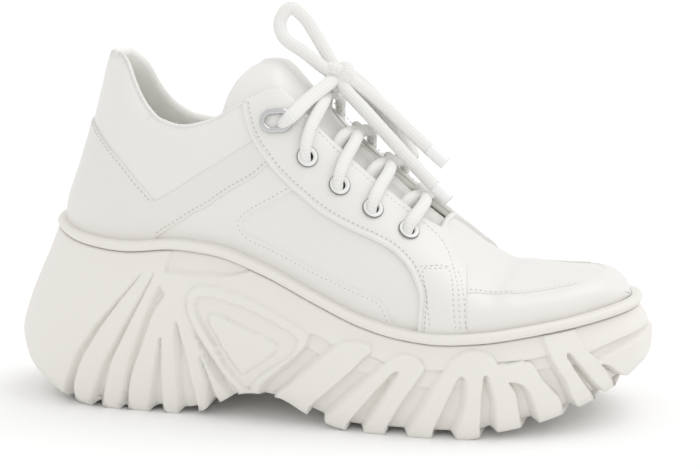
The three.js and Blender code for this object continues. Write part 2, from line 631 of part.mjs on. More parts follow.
// One strand from over an eyelet, across the throat, to just above the tongue at the far edge.
const clearEyelet = 6 * gap + overlayWall + eyeletHeight + laceRadius;
const clearStay = 4 * gap + overlayWall + laceRadius;
const clearTongue = laceRadius + 4 * gap - wall - tongueDrop;
function strand(from, side) {
  const edge = ballWidth * throatHalf(from.s);
  const onStay = (along, v, height) => new THREE.Vector3(...lastPoint(from.s + along, v, side, -height));
  return cordFrom([
    onStay(0, from.v + 0.01, clearEyelet),
    onStay(0.5 * laceSlant, mix(from.v, 0.74, 0.55), mix(clearEyelet, clearStay, 0.3)),
    overUpper(from.s + laceSlant, side * edge * 0.75, clearStay),
    overUpper(from.s + 0.4 * laceSlant, 0, mix(clearStay, clearTongue, 0.7)),
    overUpper(from.s - 0.4 * laceSlant, -side * edge * 0.4, clearTongue + 2 * gap),
    overUpper(from.s - laceSlant, -side * (edge - 1.9 * laceRadius), clearTongue + gap),
  ], 6);
}

// A flat metal keeper with a round-ended slot, standing on the eyestay beside the throat.
function buildLaceLoop(side) {
  const bar = 2.6;
  const pill = (target, long, short) => {
    const straight = long / 2 - short / 2;
    target.absarc(straight, 0, short / 2, -Math.PI / 2, Math.PI / 2);
    target.absarc(-straight, 0, short / 2, Math.PI / 2, 1.5 * Math.PI);
    return target;
  };
  const plate = pill(new THREE.Shape(), loopLength, loopWidth);
  plate.holes.push(pill(new THREE.Path(), loopLength - 2 * bar, loopWidth - 2 * bar));
  const geometry = new THREE.ExtrudeGeometry(plate, { depth: loopPlate, bevelEnabled: false, curveSegments: 6 });
  geometry.rotateX(-Math.PI / 2);
  geometry.rotateY(side * loopTurn);
  return geometryFrom(solidFrom(onUpper(geometry, { ...laceLoopPlace, side }, 3 * gap + overlayWall)));
}

// The bow's cords. Each place is [along, across, up] from the knot's middle, in knot radii.
const bow = {
  knot: [0.49, 0.855],
  lace_loop_standing: [
    [-0.88, -0.35, 0.5], [-2.3, -0.7, 1.65], [-3.7, -0.6, 2.6], [-4.1, -0.1, 3.6], [-3.5, 0.35, 4.5],
    [-2.6, 0.6, 3.85], [-1.6, 0.6, 2.4], [-0.62, 0.42, 0.85],
  ],
  lace_loop_lying: [
    [0.87, 0.73, -0.16], [2.3, 1.15, -1.6], [3.6, 1.3, -3.4], [4.5, 1.3, -5.1], [4.8, 1.85, -5.7],
    [4.4, 2.4, -5.1], [3.3, 2.2, -3.6], [2.0, 1.65, -2.3], [0.6, 0.82, -0.95],
  ],
  lace_end_near: [[0.52, -0.58, -0.75], [2.0, -0.8, -2.2], [4.0, -0.8, -4.3], [6.0, -0.8, -6.4], [7.9, -0.9, -8.2]],
  lace_end_far: [[1.0, -0.08, -0.32], [3.0, 0.1, -1.9], [5.2, 0.35, -4.0], [7.4, 0.4, -5.9]],
};
const bowSteps = { lace_loop_standing: 12, lace_loop_lying: 13, lace_end_near: 7, lace_end_far: 7 };
function bowCord(name) {
  const points = bow[name].map((place) => new THREE.Vector3(...place).multiplyScalar(knotRadius).add(knotCentre));
  return geometryFrom(cordFrom(points, bowSteps[name], 0.88 * laceRadius));
}

const cuts = collarCut().add(throatCut());
const holeRadius = eyeletHole + 0.4;
const drill = new THREE.CylinderGeometry(holeRadius, holeRadius, 16, 8);
const holes = joined(eyeletPlaces().map((place) => solidFrom(onUpper(drill, place, 0))));

const [knotAlong, knotUp] = bow.knot;
const knotCentre = new THREE.Vector3(
  upperHeel + upperLength * knotAlong,
  ballWidth * middle(knotAlong),
  heelSeat + tabHeight * knotUp,
);

const shoe = new THREE.Group();
function addPiece(name, geometry, color, roughness, metalness = 0) {
  const material = new THREE.MeshStandardMaterial({ color, roughness, metalness });
  const mesh = new THREE.Mesh(geometry, material);
  mesh.name = name;
  shoe.add(mesh);
}

const leather = [0xf1f0ed, 0.4];
addPiece('outsole', geometryFrom(buildOutsole(), 0.12), 0xe6e2da, 0.6);
addPiece('midsole', geometryFrom(buildMidsole()), 0xeceae4, 0.55);
addPiece('insole', geometryFrom(buildInsole()), 0xe4e2dc, 0.9);
addPiece('upper', geometryFrom(buildUpper(cuts, holes)), ...leather);
addPiece('eyestay_outer', geometryFrom(overlay(eyestayOutline, -wide, -gap / 2, cuts).subtract(holes)), ...leather);
addPiece('eyestay_inner', geometryFrom(overlay(eyestayOutline, gap / 2, wide, cuts).subtract(holes)), ...leather);
addPiece('heel_counter', geometryFrom(overlay(counterOutline, -wide, wide, cuts)), ...leather);
addPiece('toe_guard', geometryFrom(overlay(toeGuardOutline, -wide, wide, cuts)), ...leather);
addPiece('tongue', geometryFrom(buildTongue()), ...leather);
for (const place of eyeletPlaces()) {
  const row = eyeletTable.findIndex((entry) => entry.s === place.s) + 1;
  const sideName = place.side < 0 ? 'outer' : 'inner';
  addPiece(`eyelet_${sideName}_${row}`, buildEyelet(place), 0xf4f4f2, 0.3);
}
eyeletTable.forEach((row, i) => {
  addPiece(`lace_cross_${i + 1}`, geometryFrom(strand(row, -1).add(strand(row, 1))), 0xf3f2ef, 0.8);
});
for (const side of [-1, 1]) {
  addPiece(side < 0 ? 'lace_keeper_outer' : 'lace_keeper_inner', buildLaceLoop(side), 0xb9bbbf, 0.25, 0.9);
}
const knot = new THREE.SphereGeometry(knotRadius, 12, 8);
knot.scale(0.95, 1, 0.9);
knot.translate(knotCentre.x, knotCentre.y, knotCentre.z);
addPiece('lace_knot', geometryFrom(solidFrom(knot)), 0xf3f2ef, 0.8);
for (const name of Object.keys(bowSteps)) addPiece(name, bowCord(name), 0xf3f2ef, 0.8);

// The origin goes to the middle of the footprint, on the ground.
const footprint = new THREE.Box3().setFromObject(shoe);
const middleOf = footprint.getCenter(new THREE.Vector3());
for (const mesh of shoe.children) mesh.geometry.translate(-middleOf.x, -middleOf.y, -footprint.min.z);

export default shoe;
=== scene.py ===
import json
import math

import bpy
import numpy as np
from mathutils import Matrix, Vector
from mathutils.geometry import delaunay_2d_cdt

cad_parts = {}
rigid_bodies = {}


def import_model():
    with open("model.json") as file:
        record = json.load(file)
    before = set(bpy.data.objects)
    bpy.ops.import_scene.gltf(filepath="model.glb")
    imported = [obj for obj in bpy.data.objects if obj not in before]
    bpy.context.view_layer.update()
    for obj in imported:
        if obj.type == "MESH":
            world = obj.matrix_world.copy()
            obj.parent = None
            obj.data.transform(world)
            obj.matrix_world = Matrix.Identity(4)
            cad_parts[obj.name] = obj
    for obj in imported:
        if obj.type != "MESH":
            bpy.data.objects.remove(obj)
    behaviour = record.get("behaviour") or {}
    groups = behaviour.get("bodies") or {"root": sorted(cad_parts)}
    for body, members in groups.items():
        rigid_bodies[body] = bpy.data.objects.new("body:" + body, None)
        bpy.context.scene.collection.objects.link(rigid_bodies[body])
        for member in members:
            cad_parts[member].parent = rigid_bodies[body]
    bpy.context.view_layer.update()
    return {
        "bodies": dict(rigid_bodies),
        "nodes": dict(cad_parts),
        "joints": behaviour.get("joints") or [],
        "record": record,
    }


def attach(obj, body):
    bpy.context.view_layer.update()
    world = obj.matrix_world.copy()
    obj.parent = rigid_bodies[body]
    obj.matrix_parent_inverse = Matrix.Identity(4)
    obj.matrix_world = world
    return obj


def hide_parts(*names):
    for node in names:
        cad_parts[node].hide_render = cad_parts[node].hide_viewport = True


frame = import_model()
print("frame loaded")

# camera: a long lens, a little in front of the shoe's side and above it
cameraSettings = {"target": (8.4, -1.9, 78.0), "azimuth": 13.0, "elevation": 12.5, "distance": 1200.0, "lens": 135.34}


def addCamera(settings):
    turn, rise = math.radians(settings["azimuth"]), math.radians(settings["elevation"])
    back = Vector((math.sin(turn) * math.cos(rise), -math.cos(turn) * math.cos(rise), math.sin(rise)))
    data = bpy.data.cameras.new("camera")
    data.sensor_width = 36
    data.lens = settings["lens"]
    camera = bpy.data.objects.new("camera", data)
    camera.location = (Vector(settings["target"]) + back * settings["distance"]) / 1000
    camera.rotation_euler = back.to_track_quat("Z", "Y").to_euler()
    bpy.context.scene.collection.objects.link(camera)
    bpy.context.scene.camera = camera


addCamera(cameraSettings)

# the shoe's sizes, millimetres, as in the part's source
shoe = {
    "soleLength": 292.0, "upperLength": 262.0, "upperBack": 20.0, "ballWidth": 96.0, "ballSeat": 46.0,
    "heelDrop": 33.0, "toeSpring": 14.0, "instepRise": 76.0, "toeRise": 16.0, "tabHeight": 84.0, "tabLean": 25.0,
    "wall": 2.4, "gap": 0.3, "overlay": 1.3, "rimHeight": 4.4, "rimLedge": 3.4, "rimBulge": 1.6,
    "ribRaise": 2.8, "stepRaise": 1.4, "lugRaise": 1.2, "treadDepth": 3.0, "heelFlare": 17.5, "toeFlare": 5.0,
    "sideFlare": 5.0, "heelRocker": 16.0, "toeRocker": 8.0, "archHeight": 13.0, "toeLift": 20.5,
    "laceRadius": 2.5, "knotRadius": 6.6,
}
middleShift = np.array([0.41, -1.882, 0.0])  # the part's own move to its footprint's middle
soleBack = -shoe["soleLength"] / 2
upperHeel = soleBack + shoe["upperBack"]
heelSeat = shoe["ballSeat"] + shoe["heelDrop"]

# share of the sole's length, share of the heel's drop, share of the toe's spring
rimRows = [
    (0.0, 1.21, 0), (0.06, 1.13, 0), (0.12, 1.02, 0), (0.2, 0.965, 0), (0.28, 1.03, 0), (0.34, 0.99, 0),
    (0.42, 0.775, 0), (0.5, 0.458, 0), (0.58, 0.172, 0), (0.64, 0.045, 0), (0.7, 0, 0), (0.765, 0, 0.08),
    (0.82, 0, 0.22), (0.863, 0, 0.34), (0.906, 0, 0.465), (0.945, 0, 0.59), (0.972, 0, 0.68), (1.0, 0, 0.77),
]
# share of the upper's length, crest over the instep and the toe, outer and inner half width, middle line, fullness
lastRows = [
    (0.0, 1.21, 0, 0.345, 0.345, 0, 1.45), (0.1, 1.27, 0, 0.345, 0.34, 0, 1.5), (0.2, 1.2, 0, 0.355, 0.34, 0, 1.8),
    (0.3, 1.1, 0, 0.375, 0.345, 0.005, 2.15), (0.35, 1.13, 0, 0.39, 0.345, 0.01, 2.25),
    (0.4, 1.17, 0, 0.41, 0.35, 0.015, 2.3), (0.45, 1.09, 0, 0.43, 0.36, 0.02, 2.2),
    (0.5, 0.945, 0, 0.45, 0.375, 0.02, 2.1), (0.6, 0.745, 0, 0.485, 0.43, 0.02, 1.95),
    (0.7, 0.395, 0.45, 0.5, 0.49, 0.02, 2.0), (0.75, 0.15, 0.85, 0.5, 0.505, 0.025, 2.15),
    (0.8, 0, 1.13, 0.49, 0.505, 0.03, 2.3), (0.84, 0, 1.0, 0.477, 0.498, 0.038, 2.38),
    (0.88, 0, 0.88, 0.462, 0.489, 0.046, 2.46), (0.92, 0, 0.82, 0.447, 0.48, 0.057, 2.5),
    (0.95, 0, 0.76, 0.434, 0.473, 0.067, 2.5), (0.975, 0, 0.54, 0.423, 0.463, 0.074, 2.5), (1.0, 0, 0, 0.41, 0.45, 0.08, 2.5),
]
leanRows = [(0, 0), (0.12, 0.06), (0.33, 0.3), (0.55, 0.53), (0.75, 0.7), (0.9, 0.82), (1.15, 1.15)]
# share of the upper's length, height of the outer and the inner topline as shares of the heel tab
toplineRows = [
    (0.03, 0.95, 0.95), (0.08, 0.967, 0.965), (0.105, 0.97, 0.965), (0.119, 0.955, 0.925), (0.132, 0.92, 0.87),
    (0.148, 0.84, 0.74), (0.165, 0.76, 0.655), (0.183, 0.695, 0.605), (0.203, 0.65, 0.57), (0.242, 0.625, 0.55),
    (0.287, 0.655, 0.585), (0.335, 0.735, 0.67), (0.363, 0.778, 0.73), (0.395, 0.818, 0.785),
    (0.43, 0.825, 0.81), (0.5, 0.86, 0.85),
]
throatRows = [
    (0.26, 0.27), (0.42, 0.25), (0.47, 0.245), (0.516, 0.222), (0.562, 0.22), (0.613, 0.21), (0.66, 0.19), (0.68, 0.165),
]
# share of the side's height from the rim down, then how far it stands out at heel, toe and side, and its roll
sideRows = [
    (0.0, 0, 0, 0, 0), (0.14, 0.2, 0.5, 0.35, 0), (0.26, 0.4, 0.8, 0.65, 0), (0.5, 0.77, 1.0, 1.0, 0),
    (0.72, 1.0, 1.0, 1.0, 0.03), (0.86, 1.0, 0.9, 0.85, 0.15), (0.95, 1.0, 0.8, 0.65, 0.5), (1.0, 1.0, 0.8, 0.45, 1.0),
]
groundRows = [
    (0.0, 0.65, 0), (0.05, 0.35, 0), (0.096, 0.1, 0), (0.14, 0, 0), (0.3, 0, 0), (0.345, 0.42, 0), (0.385, 0.9, 0),
    (0.41, 1.0, 0), (0.45, 0.92, 0), (0.5, 0.42, 0), (0.55, 0.07, 0), (0.575, 0, 0), (0.75, 0, 0), (0.784, 0, 0.13),
    (0.825, 0, 0.23), (0.86, 0, 0.34), (0.894, 0, 0.5), (0.928, 0, 0.68), (0.97, 0, 1.0), (1.0, 0, 1.2),
]


def smoothColumn(rows, place):
    table = np.array(rows, float)
    xs, ys = table[:, 0], table[:, place]
    rise = np.diff(ys) / np.diff(xs)
    slope = np.concatenate([rise[:1], np.zeros(len(xs) - 2), rise[-1:]])
    both = rise[:-1] * rise[1:]
    total = np.where(rise[:-1] + rise[1:] == 0, 1, rise[:-1] + rise[1:])
    slope[1:-1] = np.where(both > 0, 2 * both / total, 0)

    def at(x):
        x = np.clip(x, xs[0], xs[-1])
        i = np.clip(np.searchsorted(xs, x, side="right") - 1, 0, len(xs) - 2)
        width = xs[i + 1] - xs[i]
        t = (x - xs[i]) / width
        value = ys[i] * (1 + 2 * t) * (1 - t) ** 2 + ys[i + 1] * (3 - 2 * t) * t ** 2
        return value + width * (slope[i] * t * (1 - t) ** 2 - slope[i + 1] * t ** 2 * (1 - t))

    return at


rimHeel, rimToe = smoothColumn(rimRows, 1), smoothColumn(rimRows, 2)
crestInstep, crestToe, halfOuter, halfInner, middleLine, fullness = [smoothColumn(lastRows, i) for i in range(1, 7)]
backLean = smoothColumn(leanRows, 1)
toplineOuter, toplineInner = smoothColumn(toplineRows, 1), smoothColumn(toplineRows, 2)
throatHalf = smoothColumn(throatRows, 1)
sideHeel, sideToe, sideOut, sideRoll = [smoothColumn(sideRows, i) for i in range(1, 5)]
groundArch, groundLift = smoothColumn(groundRows, 1), smoothColumn(groundRows, 2)


def seatHeight(x):
    u = (x - soleBack) / shoe["soleLength"]
    return shoe["ballSeat"] + shoe["heelDrop"] * rimHeel(u) + shoe["toeSpring"] * rimToe(u)


def endRound(s, heelSpan, toeSpan):
    back = np.clip(1 - s / heelSpan, 0, 1)
    front = np.clip(1 - (1 - s) / toeSpan, 0, 1)
    return np.sqrt(1 - back ** 2.1) * np.sqrt(1 - front ** 2.3)


def lastPoint(s, v, side, out=0.0):
    s, v, side, out = np.broadcast_arrays(*[np.asarray(n, float) for n in (s, v, side, out)])
    length = shoe["upperLength"] + 2 * out
    flatX = upperHeel - out + length * s
    seat = seatHeight(flatX) + 1.8 * shoe["gap"]
    rise = shoe["instepRise"] * crestInstep(s) + shoe["toeRise"] * crestToe(s)
    crest = np.maximum(seat, seat + rise + out)
    half = shoe["ballWidth"] * np.where(side < 0, halfOuter(s), halfInner(s)) + out
    width = np.maximum(half, 0) * endRound(s, 0.14, 0.31)
    belly = seat + np.minimum(0.2 * rise, 0.45 * (crest - seat))
    t = v / 0.16
    turn = np.clip((v - 0.16) / 0.84, 0, 1) * math.pi / 2
    power = 2 / fullness(s)
    low = v <= 0.16
    y = np.where(low, width - 0.7 * np.minimum(1, width / 12) * (1 - t) ** 2, width * np.abs(np.cos(turn)) ** power)
    y = np.where(v >= 1, 0, y)
    z = np.where(low, seat + (belly - seat) * t, belly + (crest - belly) * np.sin(turn) ** power)
    height = np.maximum(0, (z - heelSeat) / shoe["tabHeight"])
    fade = np.clip(1 - s / 0.34, 0, 1) ** 1.3
    x = flatX + shoe["tabLean"] * backLean(height) * fade
    return np.stack([x, shoe["ballWidth"] * middleLine(s) + side * y, z], -1) + middleShift


# The upper is one map: a runs from heel to toe with even steps round both ends, v from the outer rim, 0, over the
# crest, 1, to the inner rim, 2. Below a = 0 it carries on round the heel to the other side.
def alongOf(s):
    s = np.asarray(s, float)
    return np.sign(s) * np.arccos(1 - 2 * np.abs(s)) / math.pi


def rawPoint(a, v):
    a, v = np.broadcast_arrays(np.asarray(a, float), np.asarray(v, float))
    swap = (a < 0) ^ (a > 1) ^ (v > 1)
    a = np.abs(a)
    a = np.where(a > 1, 2 - a, a)
    v = np.where(v > 1, 2 - v, v)
    return lastPoint((1 - np.cos(math.pi * a)) / 2, v, np.where(swap, 1, -1))


def tangents(a, v):
    step = 0.004
    alongA = rawPoint(a + step, v) - rawPoint(a - step, v)
    alongV = rawPoint(a, v + step) - rawPoint(a, v - step)
    return alongA / (2 * step), alongV / (2 * step)


def outward(a, v):
    alongA, alongV = tangents(a, v)
    normal = np.cross(alongA, alongV)
    normal /= np.maximum(np.linalg.norm(normal, axis=-1, keepdims=True), 1e-9)
    tip = np.clip((np.asarray(a, float) - 0.95) / 0.04, 0, 1)[..., None]  # the toe's pole faces forward
    normal = (1 - tip) * normal + tip * np.array([0.95, 0.0, 0.3])
    return normal / np.maximum(np.linalg.norm(normal, axis=-1, keepdims=True), 1e-9)


def onUpper(places, out=0.0):
    places = np.asarray(places, float)
    a, v = places[..., 0], places[..., 1]
    return rawPoint(a, v) + outward(a, v) * np.asarray(out, float)[..., None]


def topPlace(s, inner):
    low, high = np.zeros_like(s), np.ones_like(s)
    line = toplineInner if inner else toplineOuter
    for _ in range(26):
        v = (low + high) / 2
        point = lastPoint(s, v, 1 if inner else -1) - middleShift
        share = (point[:, 0] - upperHeel) / shoe["upperLength"]
        over = point[:, 2] > heelSeat + shoe["tabHeight"] * line(share)
        across = np.abs(point[:, 1] - shoe["ballWidth"] * middleLine(s))
        over |= (s > 0.3) & (across < shoe["ballWidth"] * throatHalf(s))
        low, high = np.where(over, low, v), np.where(over, v, high)
    return low


def sidePlaces(points, inner=False):
    points = np.array(points, float)
    x = upperHeel + shoe["upperLength"] * points[:, 0]
    z = heelSeat + shoe["tabHeight"] * points[:, 1]
    s = np.clip(points[:, 0], 0.001, 0.999)
    side = 1 if inner else -1
    for _ in range(8):
        low, high = np.full_like(s, -0.1), np.ones_like(s)
        for _ in range(24):
            v = (low + high) / 2
            over = lastPoint(s, v, side)[:, 2] > z
            low, high = np.where(over, low, v), np.where(over, v, high)
        s = np.clip(s - (lastPoint(s, low, side)[:, 0] - middleShift[0] - x) / shoe["upperLength"], 0.001, 0.999)
    places = np.stack([alongOf(s), low], 1)
    return mirrored(places) if inner else places


def mirrored(places):
    places = np.array(places, float)
    return np.stack([places[:, 0], 2 - places[:, 1]], 1)


def places(points):
    points = np.array(points, float)
    return np.stack([alongOf(points[:, 0]), points[:, 1]], 1)


mapScale = np.array([360.0, 110.0])


def lengthsOf(points):
    return np.concatenate([[0], np.cumsum(np.linalg.norm(np.diff(points, axis=0), axis=1))])


def resampled(path, step):
    solid = onUpper(path)
    lengths = lengthsOf(solid)
    count = max(2, int(round(lengths[-1] / step)) + 1)
    at = np.linspace(0, lengths[-1], count)
    return np.stack([np.interp(at, lengths, path[:, 0]), np.interp(at, lengths, path[:, 1])], 1)


def smoothRun(knots, step=1.0, fine=24):
    knots = np.array(knots, float)
    if len(knots) > 2:
        ends = np.vstack([2 * knots[:1] - knots[1:2], knots, 2 * knots[-1:] - knots[-2:-1]])
        t = np.linspace(0, 1, fine, endpoint=False)[:, None]
        pieces = []
        for i in range(1, len(ends) - 2):
            p0, p1, p2, p3 = ends[i - 1:i + 3]
            pieces.append(0.5 * (2 * p1 + (p2 - p0) * t + (2 * p0 - 5 * p1 + 4 * p2 - p3) * t ** 2
                                 + (3 * p1 - p0 - 3 * p2 + p3) * t ** 3))
        knots = np.vstack(pieces + [knots[-1:]])
    else:
        t = np.linspace(0, 1, 120)[:, None]
        knots = knots[:1] * (1 - t) + knots[1:] * t
    return resampled(knots, step)


def shifted(path, distance, toward, closed=False):
    path = np.array(path, float)
    for _ in range(max(1, int(math.ceil(abs(distance) / 1.5)))):
        step = distance / max(1, int(math.ceil(abs(distance) / 1.5)))
        solid = onUpper(path)
        if closed:
            tangent = np.roll(solid, -1, 0) - np.roll(solid, 1, 0)
        else:
            tangent = np.gradient(solid, axis=0)
        tangent /= np.maximum(np.linalg.norm(tangent, axis=1, keepdims=True), 1e-9)
        alongA, alongV = tangents(path[:, 0], path[:, 1])
        across = np.cross(outward(path[:, 0], path[:, 1]), tangent)
        aa, av, vv = (alongA ** 2).sum(1), (alongA * alongV).sum(1), (alongV ** 2).sum(1)
        ra, rv = (alongA * across).sum(1), (alongV * across).sum(1)
        det = np.maximum(aa * vv - av ** 2, 1e-6)
        move = np.stack([(ra * vv - rv * av) / det, (rv * aa - ra * av) / det], 1)
        if closed:
            sign = toward
        else:
            middle = len(path) // 2
            sign = np.sign(((np.array(toward) - path[middle]) * move[middle] * mapScale ** 2).sum()) or 1
        path = path + move * step * sign
    return path


def insideOf(points, ring):
    inside = np.zeros(len(points), bool)
    x, y = points[:, 0], points[:, 1]
    for (x1, y1), (x2, y2) in zip(ring, np.roll(ring, -1, 0)):
        if y1 == y2:
            continue
        cross = (y1 > y) != (y2 > y)
        inside ^= cross & (x < (x2 - x1) * (y - y1) / (y2 - y1) + x1)
    return inside


def insideAny(points, rings):
    found = np.zeros(len(points), bool)
    for ring in rings:
        found |= insideOf(points, ring)
    return found


def nearestTo(points, line):
    best = np.full(len(points), 1e9)
    for start in range(0, len(points), 4000):
        part = points[start:start + 4000]
        best[start:start + 4000] = np.sqrt(((part[:, None] - line[None]) ** 2).sum(2)).min(1)
    return best


def newObject(name, points, faces):
    mesh = bpy.data.meshes.new(name)
    mesh.from_pydata((np.asarray(points) / 1000).tolist(), [], [tuple(int(i) for i in f) for f in faces])
    mesh.validate()
    piece = bpy.data.objects.new(name, mesh)
    bpy.context.scene.collection.objects.link(piece)
    mesh.shade_smooth()
    return piece


def only(*pieces):
    bpy.ops.object.select_all(action="DESELECT")
    for piece in pieces:
        piece.select_set(True)
    bpy.context.view_layer.objects.active = pieces[0]


def weld(piece):
    only(piece)
    bpy.ops.object.mode_set(mode="EDIT")
    bpy.ops.mesh.select_all(action="SELECT")
    bpy.ops.mesh.remove_doubles(threshold=0.00002)
    bpy.ops.object.mode_set(mode="OBJECT")
    return piece


def ringTurn(ring):
    flat = ring * mapScale
    nxt = np.roll(flat, -1, 0)
    return np.sign((flat[:, 0] * nxt[:, 1] - nxt[:, 0] * flat[:, 1]).sum())


# a sheet over the upper: its border is the ring, heightAt says how far each point stands out
def patchOn(name, ring, heightAt, rings=(0.25, 0.6, 1.1, 1.8, 2.6), spacing=2.2, edge=None, lines=(), holes=(),
            turned=False):
    ring = np.array(ring)
    sign = ringTurn(ring)
    ringSolid = onUpper(ring)
    edgeSolid = ringSolid if edge is None else onUpper(edge)
    seeds = [ring]
    for distance in rings:
        loop = shifted(ring, distance, sign, closed=True)
        solid = onUpper(loop)
        keep = nearestTo(solid, ringSolid) > 0.93 * distance
        keep &= insideOf(loop, ring)
        seeds.append(loop[keep][:: 1 if distance < 2 else 2])
    low, high = ring.min(0), ring.max(0)
    stepA, stepV = spacing / mapScale
    gridA, gridV = np.meshgrid(np.arange(low[0], high[0], stepA), np.arange(low[1], high[1], stepV * 0.866))
    gridA = gridA + (np.arange(gridA.shape[0]) % 2)[:, None] * stepA / 2
    grid = np.stack([gridA.ravel(), gridV.ravel()], 1)
    grid = grid[insideOf(grid, ring)]
    solid = onUpper(grid)
    keep = nearestTo(solid, ringSolid) > (rings[-1] if rings else 0) + 0.45 * spacing
    for line in lines:
        keep &= nearestTo(solid, onUpper(line)) > 1.6
    seeds.append(grid[keep])
    for line in lines:
        for away in (-0.9, -0.45, 0, 0.45, 0.9):
            loop = shifted(line, away, line[len(line) // 2] + (0, 0.1)) if away else line
            loop = loop[insideOf(loop, ring)]
            near = nearestTo(onUpper(loop), ringSolid) if len(loop) else np.zeros(0)
            seeds.append(loop[near > (rings[-1] if rings else 0) + 0.3])
    outside = [loop[~insideAny(loop, holes)] for loop in seeds[1:]]
    allSeeds = np.vstack([ring] + outside + list(holes))
    count = len(ring)
    loopEdges = [(i, (i + 1) % count) for i in range(count)]
    start = len(allSeeds) - sum(len(hole) for hole in holes)
    for hole in holes:
        loopEdges += [(start + i, start + (i + 1) % len(hole)) for i in range(len(hole))]
        start += len(hole)
    flat = [Vector(p) for p in (allSeeds * mapScale).tolist()]
    verts, _, faces, _, _, _ = delaunay_2d_cdt(flat, loopEdges, [], 1, 1e-5)
    made = np.array([tuple(p) for p in verts]) / mapScale
    faces = np.array([tuple(f) for f in faces])
    centres = made[faces].mean(1)
    faces = faces[insideOf(centres, ring) & ~insideAny(centres, holes)]
    flatMade = made * mapScale
    a, b, c = flatMade[faces[:, 0]], flatMade[faces[:, 1]], flatMade[faces[:, 2]]
    clockwise = ((b - a)[:, 0] * (c - a)[:, 1] - (b - a)[:, 1] * (c - a)[:, 0]) < 0
    faces[clockwise] = faces[clockwise][:, ::-1]
    if turned:
        faces = faces[:, ::-1]
    base = onUpper(made)
    away = nearestTo(base, edgeSolid)
    height = heightAt(made, away, base)
    return newObject(name, onUpper(made, height), faces)


def profile(rows):
    table = np.array(rows, float)
    return lambda distance: np.interp(distance, table[:, 0], table[:, 1])


def bump(value, width):
    return np.exp(-(value / width) ** 2)


# cords are tubes swept along their routes
def smoothRoute(points, count):
    points = np.array(points, float)
    ends = np.vstack([2 * points[:1] - points[1:2], points, 2 * points[-1:] - points[-2:-1]])
    t = np.linspace(0, 1, 40, endpoint=False)[:, None]
    fine = []
    for i in range(1, len(ends) - 2):
        p = ends[i - 1:i + 3]
        knots = np.concatenate([[0], np.cumsum(np.linalg.norm(np.diff(p, axis=0), axis=1) ** 0.5)])
        at = knots[1] + (knots[2] - knots[1]) * t
        a1 = ((knots[1] - at) * p[0] + at * p[1]) / knots[1]
        a2 = ((knots[2] - at) * p[1] + (at - knots[1]) * p[2]) / (knots[2] - knots[1])
        a3 = ((knots[3] - at) * p[2] + (at - knots[2]) * p[3]) / (knots[3] - knots[2])
        b1 = ((knots[2] - at) * a1 + at * a2) / knots[2]
        b2 = ((knots[3] - at) * a2 + (at - knots[1]) * a3) / (knots[3] - knots[1])
        fine.append(((knots[2] - at) * b1 + (at - knots[1]) * b2) / (knots[2] - knots[1]))
    fine = np.vstack(fine + [points[-1:]])
    lengths = lengthsOf(fine)
    at = np.linspace(0, lengths[-1], count)
    return np.stack([np.interp(at, lengths, fine[:, i]) for i in range(3)], 1)


def sweepTube(name, route, radius, around=20, flat=1.0, upHint=None, closed=False):
    route = np.asarray(route, float)
    count = len(route)
    if closed:
        tangent = np.roll(route, -1, 0) - np.roll(route, 1, 0)
    else:
        tangent = np.gradient(route, axis=0)
    tangent /= np.linalg.norm(tangent, axis=1, keepdims=True)
    radius = np.broadcast_to(np.asarray(radius, float), (count,))
    if upHint is None:
        frames = [np.cross(tangent[0], (0.31, 0.9, 0.2))]
        frames[0] /= np.linalg.norm(frames[0])
        for i in range(1, count):
            turned = frames[-1] - tangent[i] * frames[-1].dot(tangent[i])
            frames.append(turned / np.linalg.norm(turned))
        first = np.array(frames)
    else:
        first = np.cross(np.broadcast_to(upHint, route.shape), tangent)
        first /= np.linalg.norm(first, axis=1, keepdims=True)
    second = np.cross(tangent, first)
    angle = np.linspace(0, 2 * math.pi, around, endpoint=False)
    rings = (route[:, None] + radius[:, None, None] * (np.cos(angle)[None, :, None] * first[:, None]
             + flat * np.sin(angle)[None, :, None] * second[:, None]))
    points = rings.reshape(-1, 3)
    faces = []
    spans = count if closed else count - 1
    for i in range(spans):
        j = (i + 1) % count
        for k in range(around):
            m = (k + 1) % around
            faces.append((i * around + k, i * around + m, j * around + m, j * around + k))
    if not closed:
        faces.append(tuple(range(around))[::-1])
        faces.append(tuple((count - 1) * around + k for k in range(around)))
    piece = newObject(name, points, faces)
    lengths = lengthsOf(route)
    layer = piece.data.uv_layers.new(name="along")
    uv = np.zeros((len(piece.data.loops), 2), np.float32)
    loopVerts = np.zeros(len(piece.data.loops), np.int32)
    piece.data.loops.foreach_get("vertex_index", loopVerts)
    uv[:, 0] = lengths[np.minimum(loopVerts // around, count - 1)] / 10
    share = (loopVerts % around) / around
    for face in piece.data.polygons:
        if len(face.loop_indices) == 4:
            shares = share[list(face.loop_indices)]
            if shares.max() - shares.min() > 0.5:
                for loop in face.loop_indices:
                    if share[loop] < 0.5:
                        share[loop] += 1
    uv[:, 1] = share
    layer.data.foreach_set("uv", uv.ravel())
    return piece


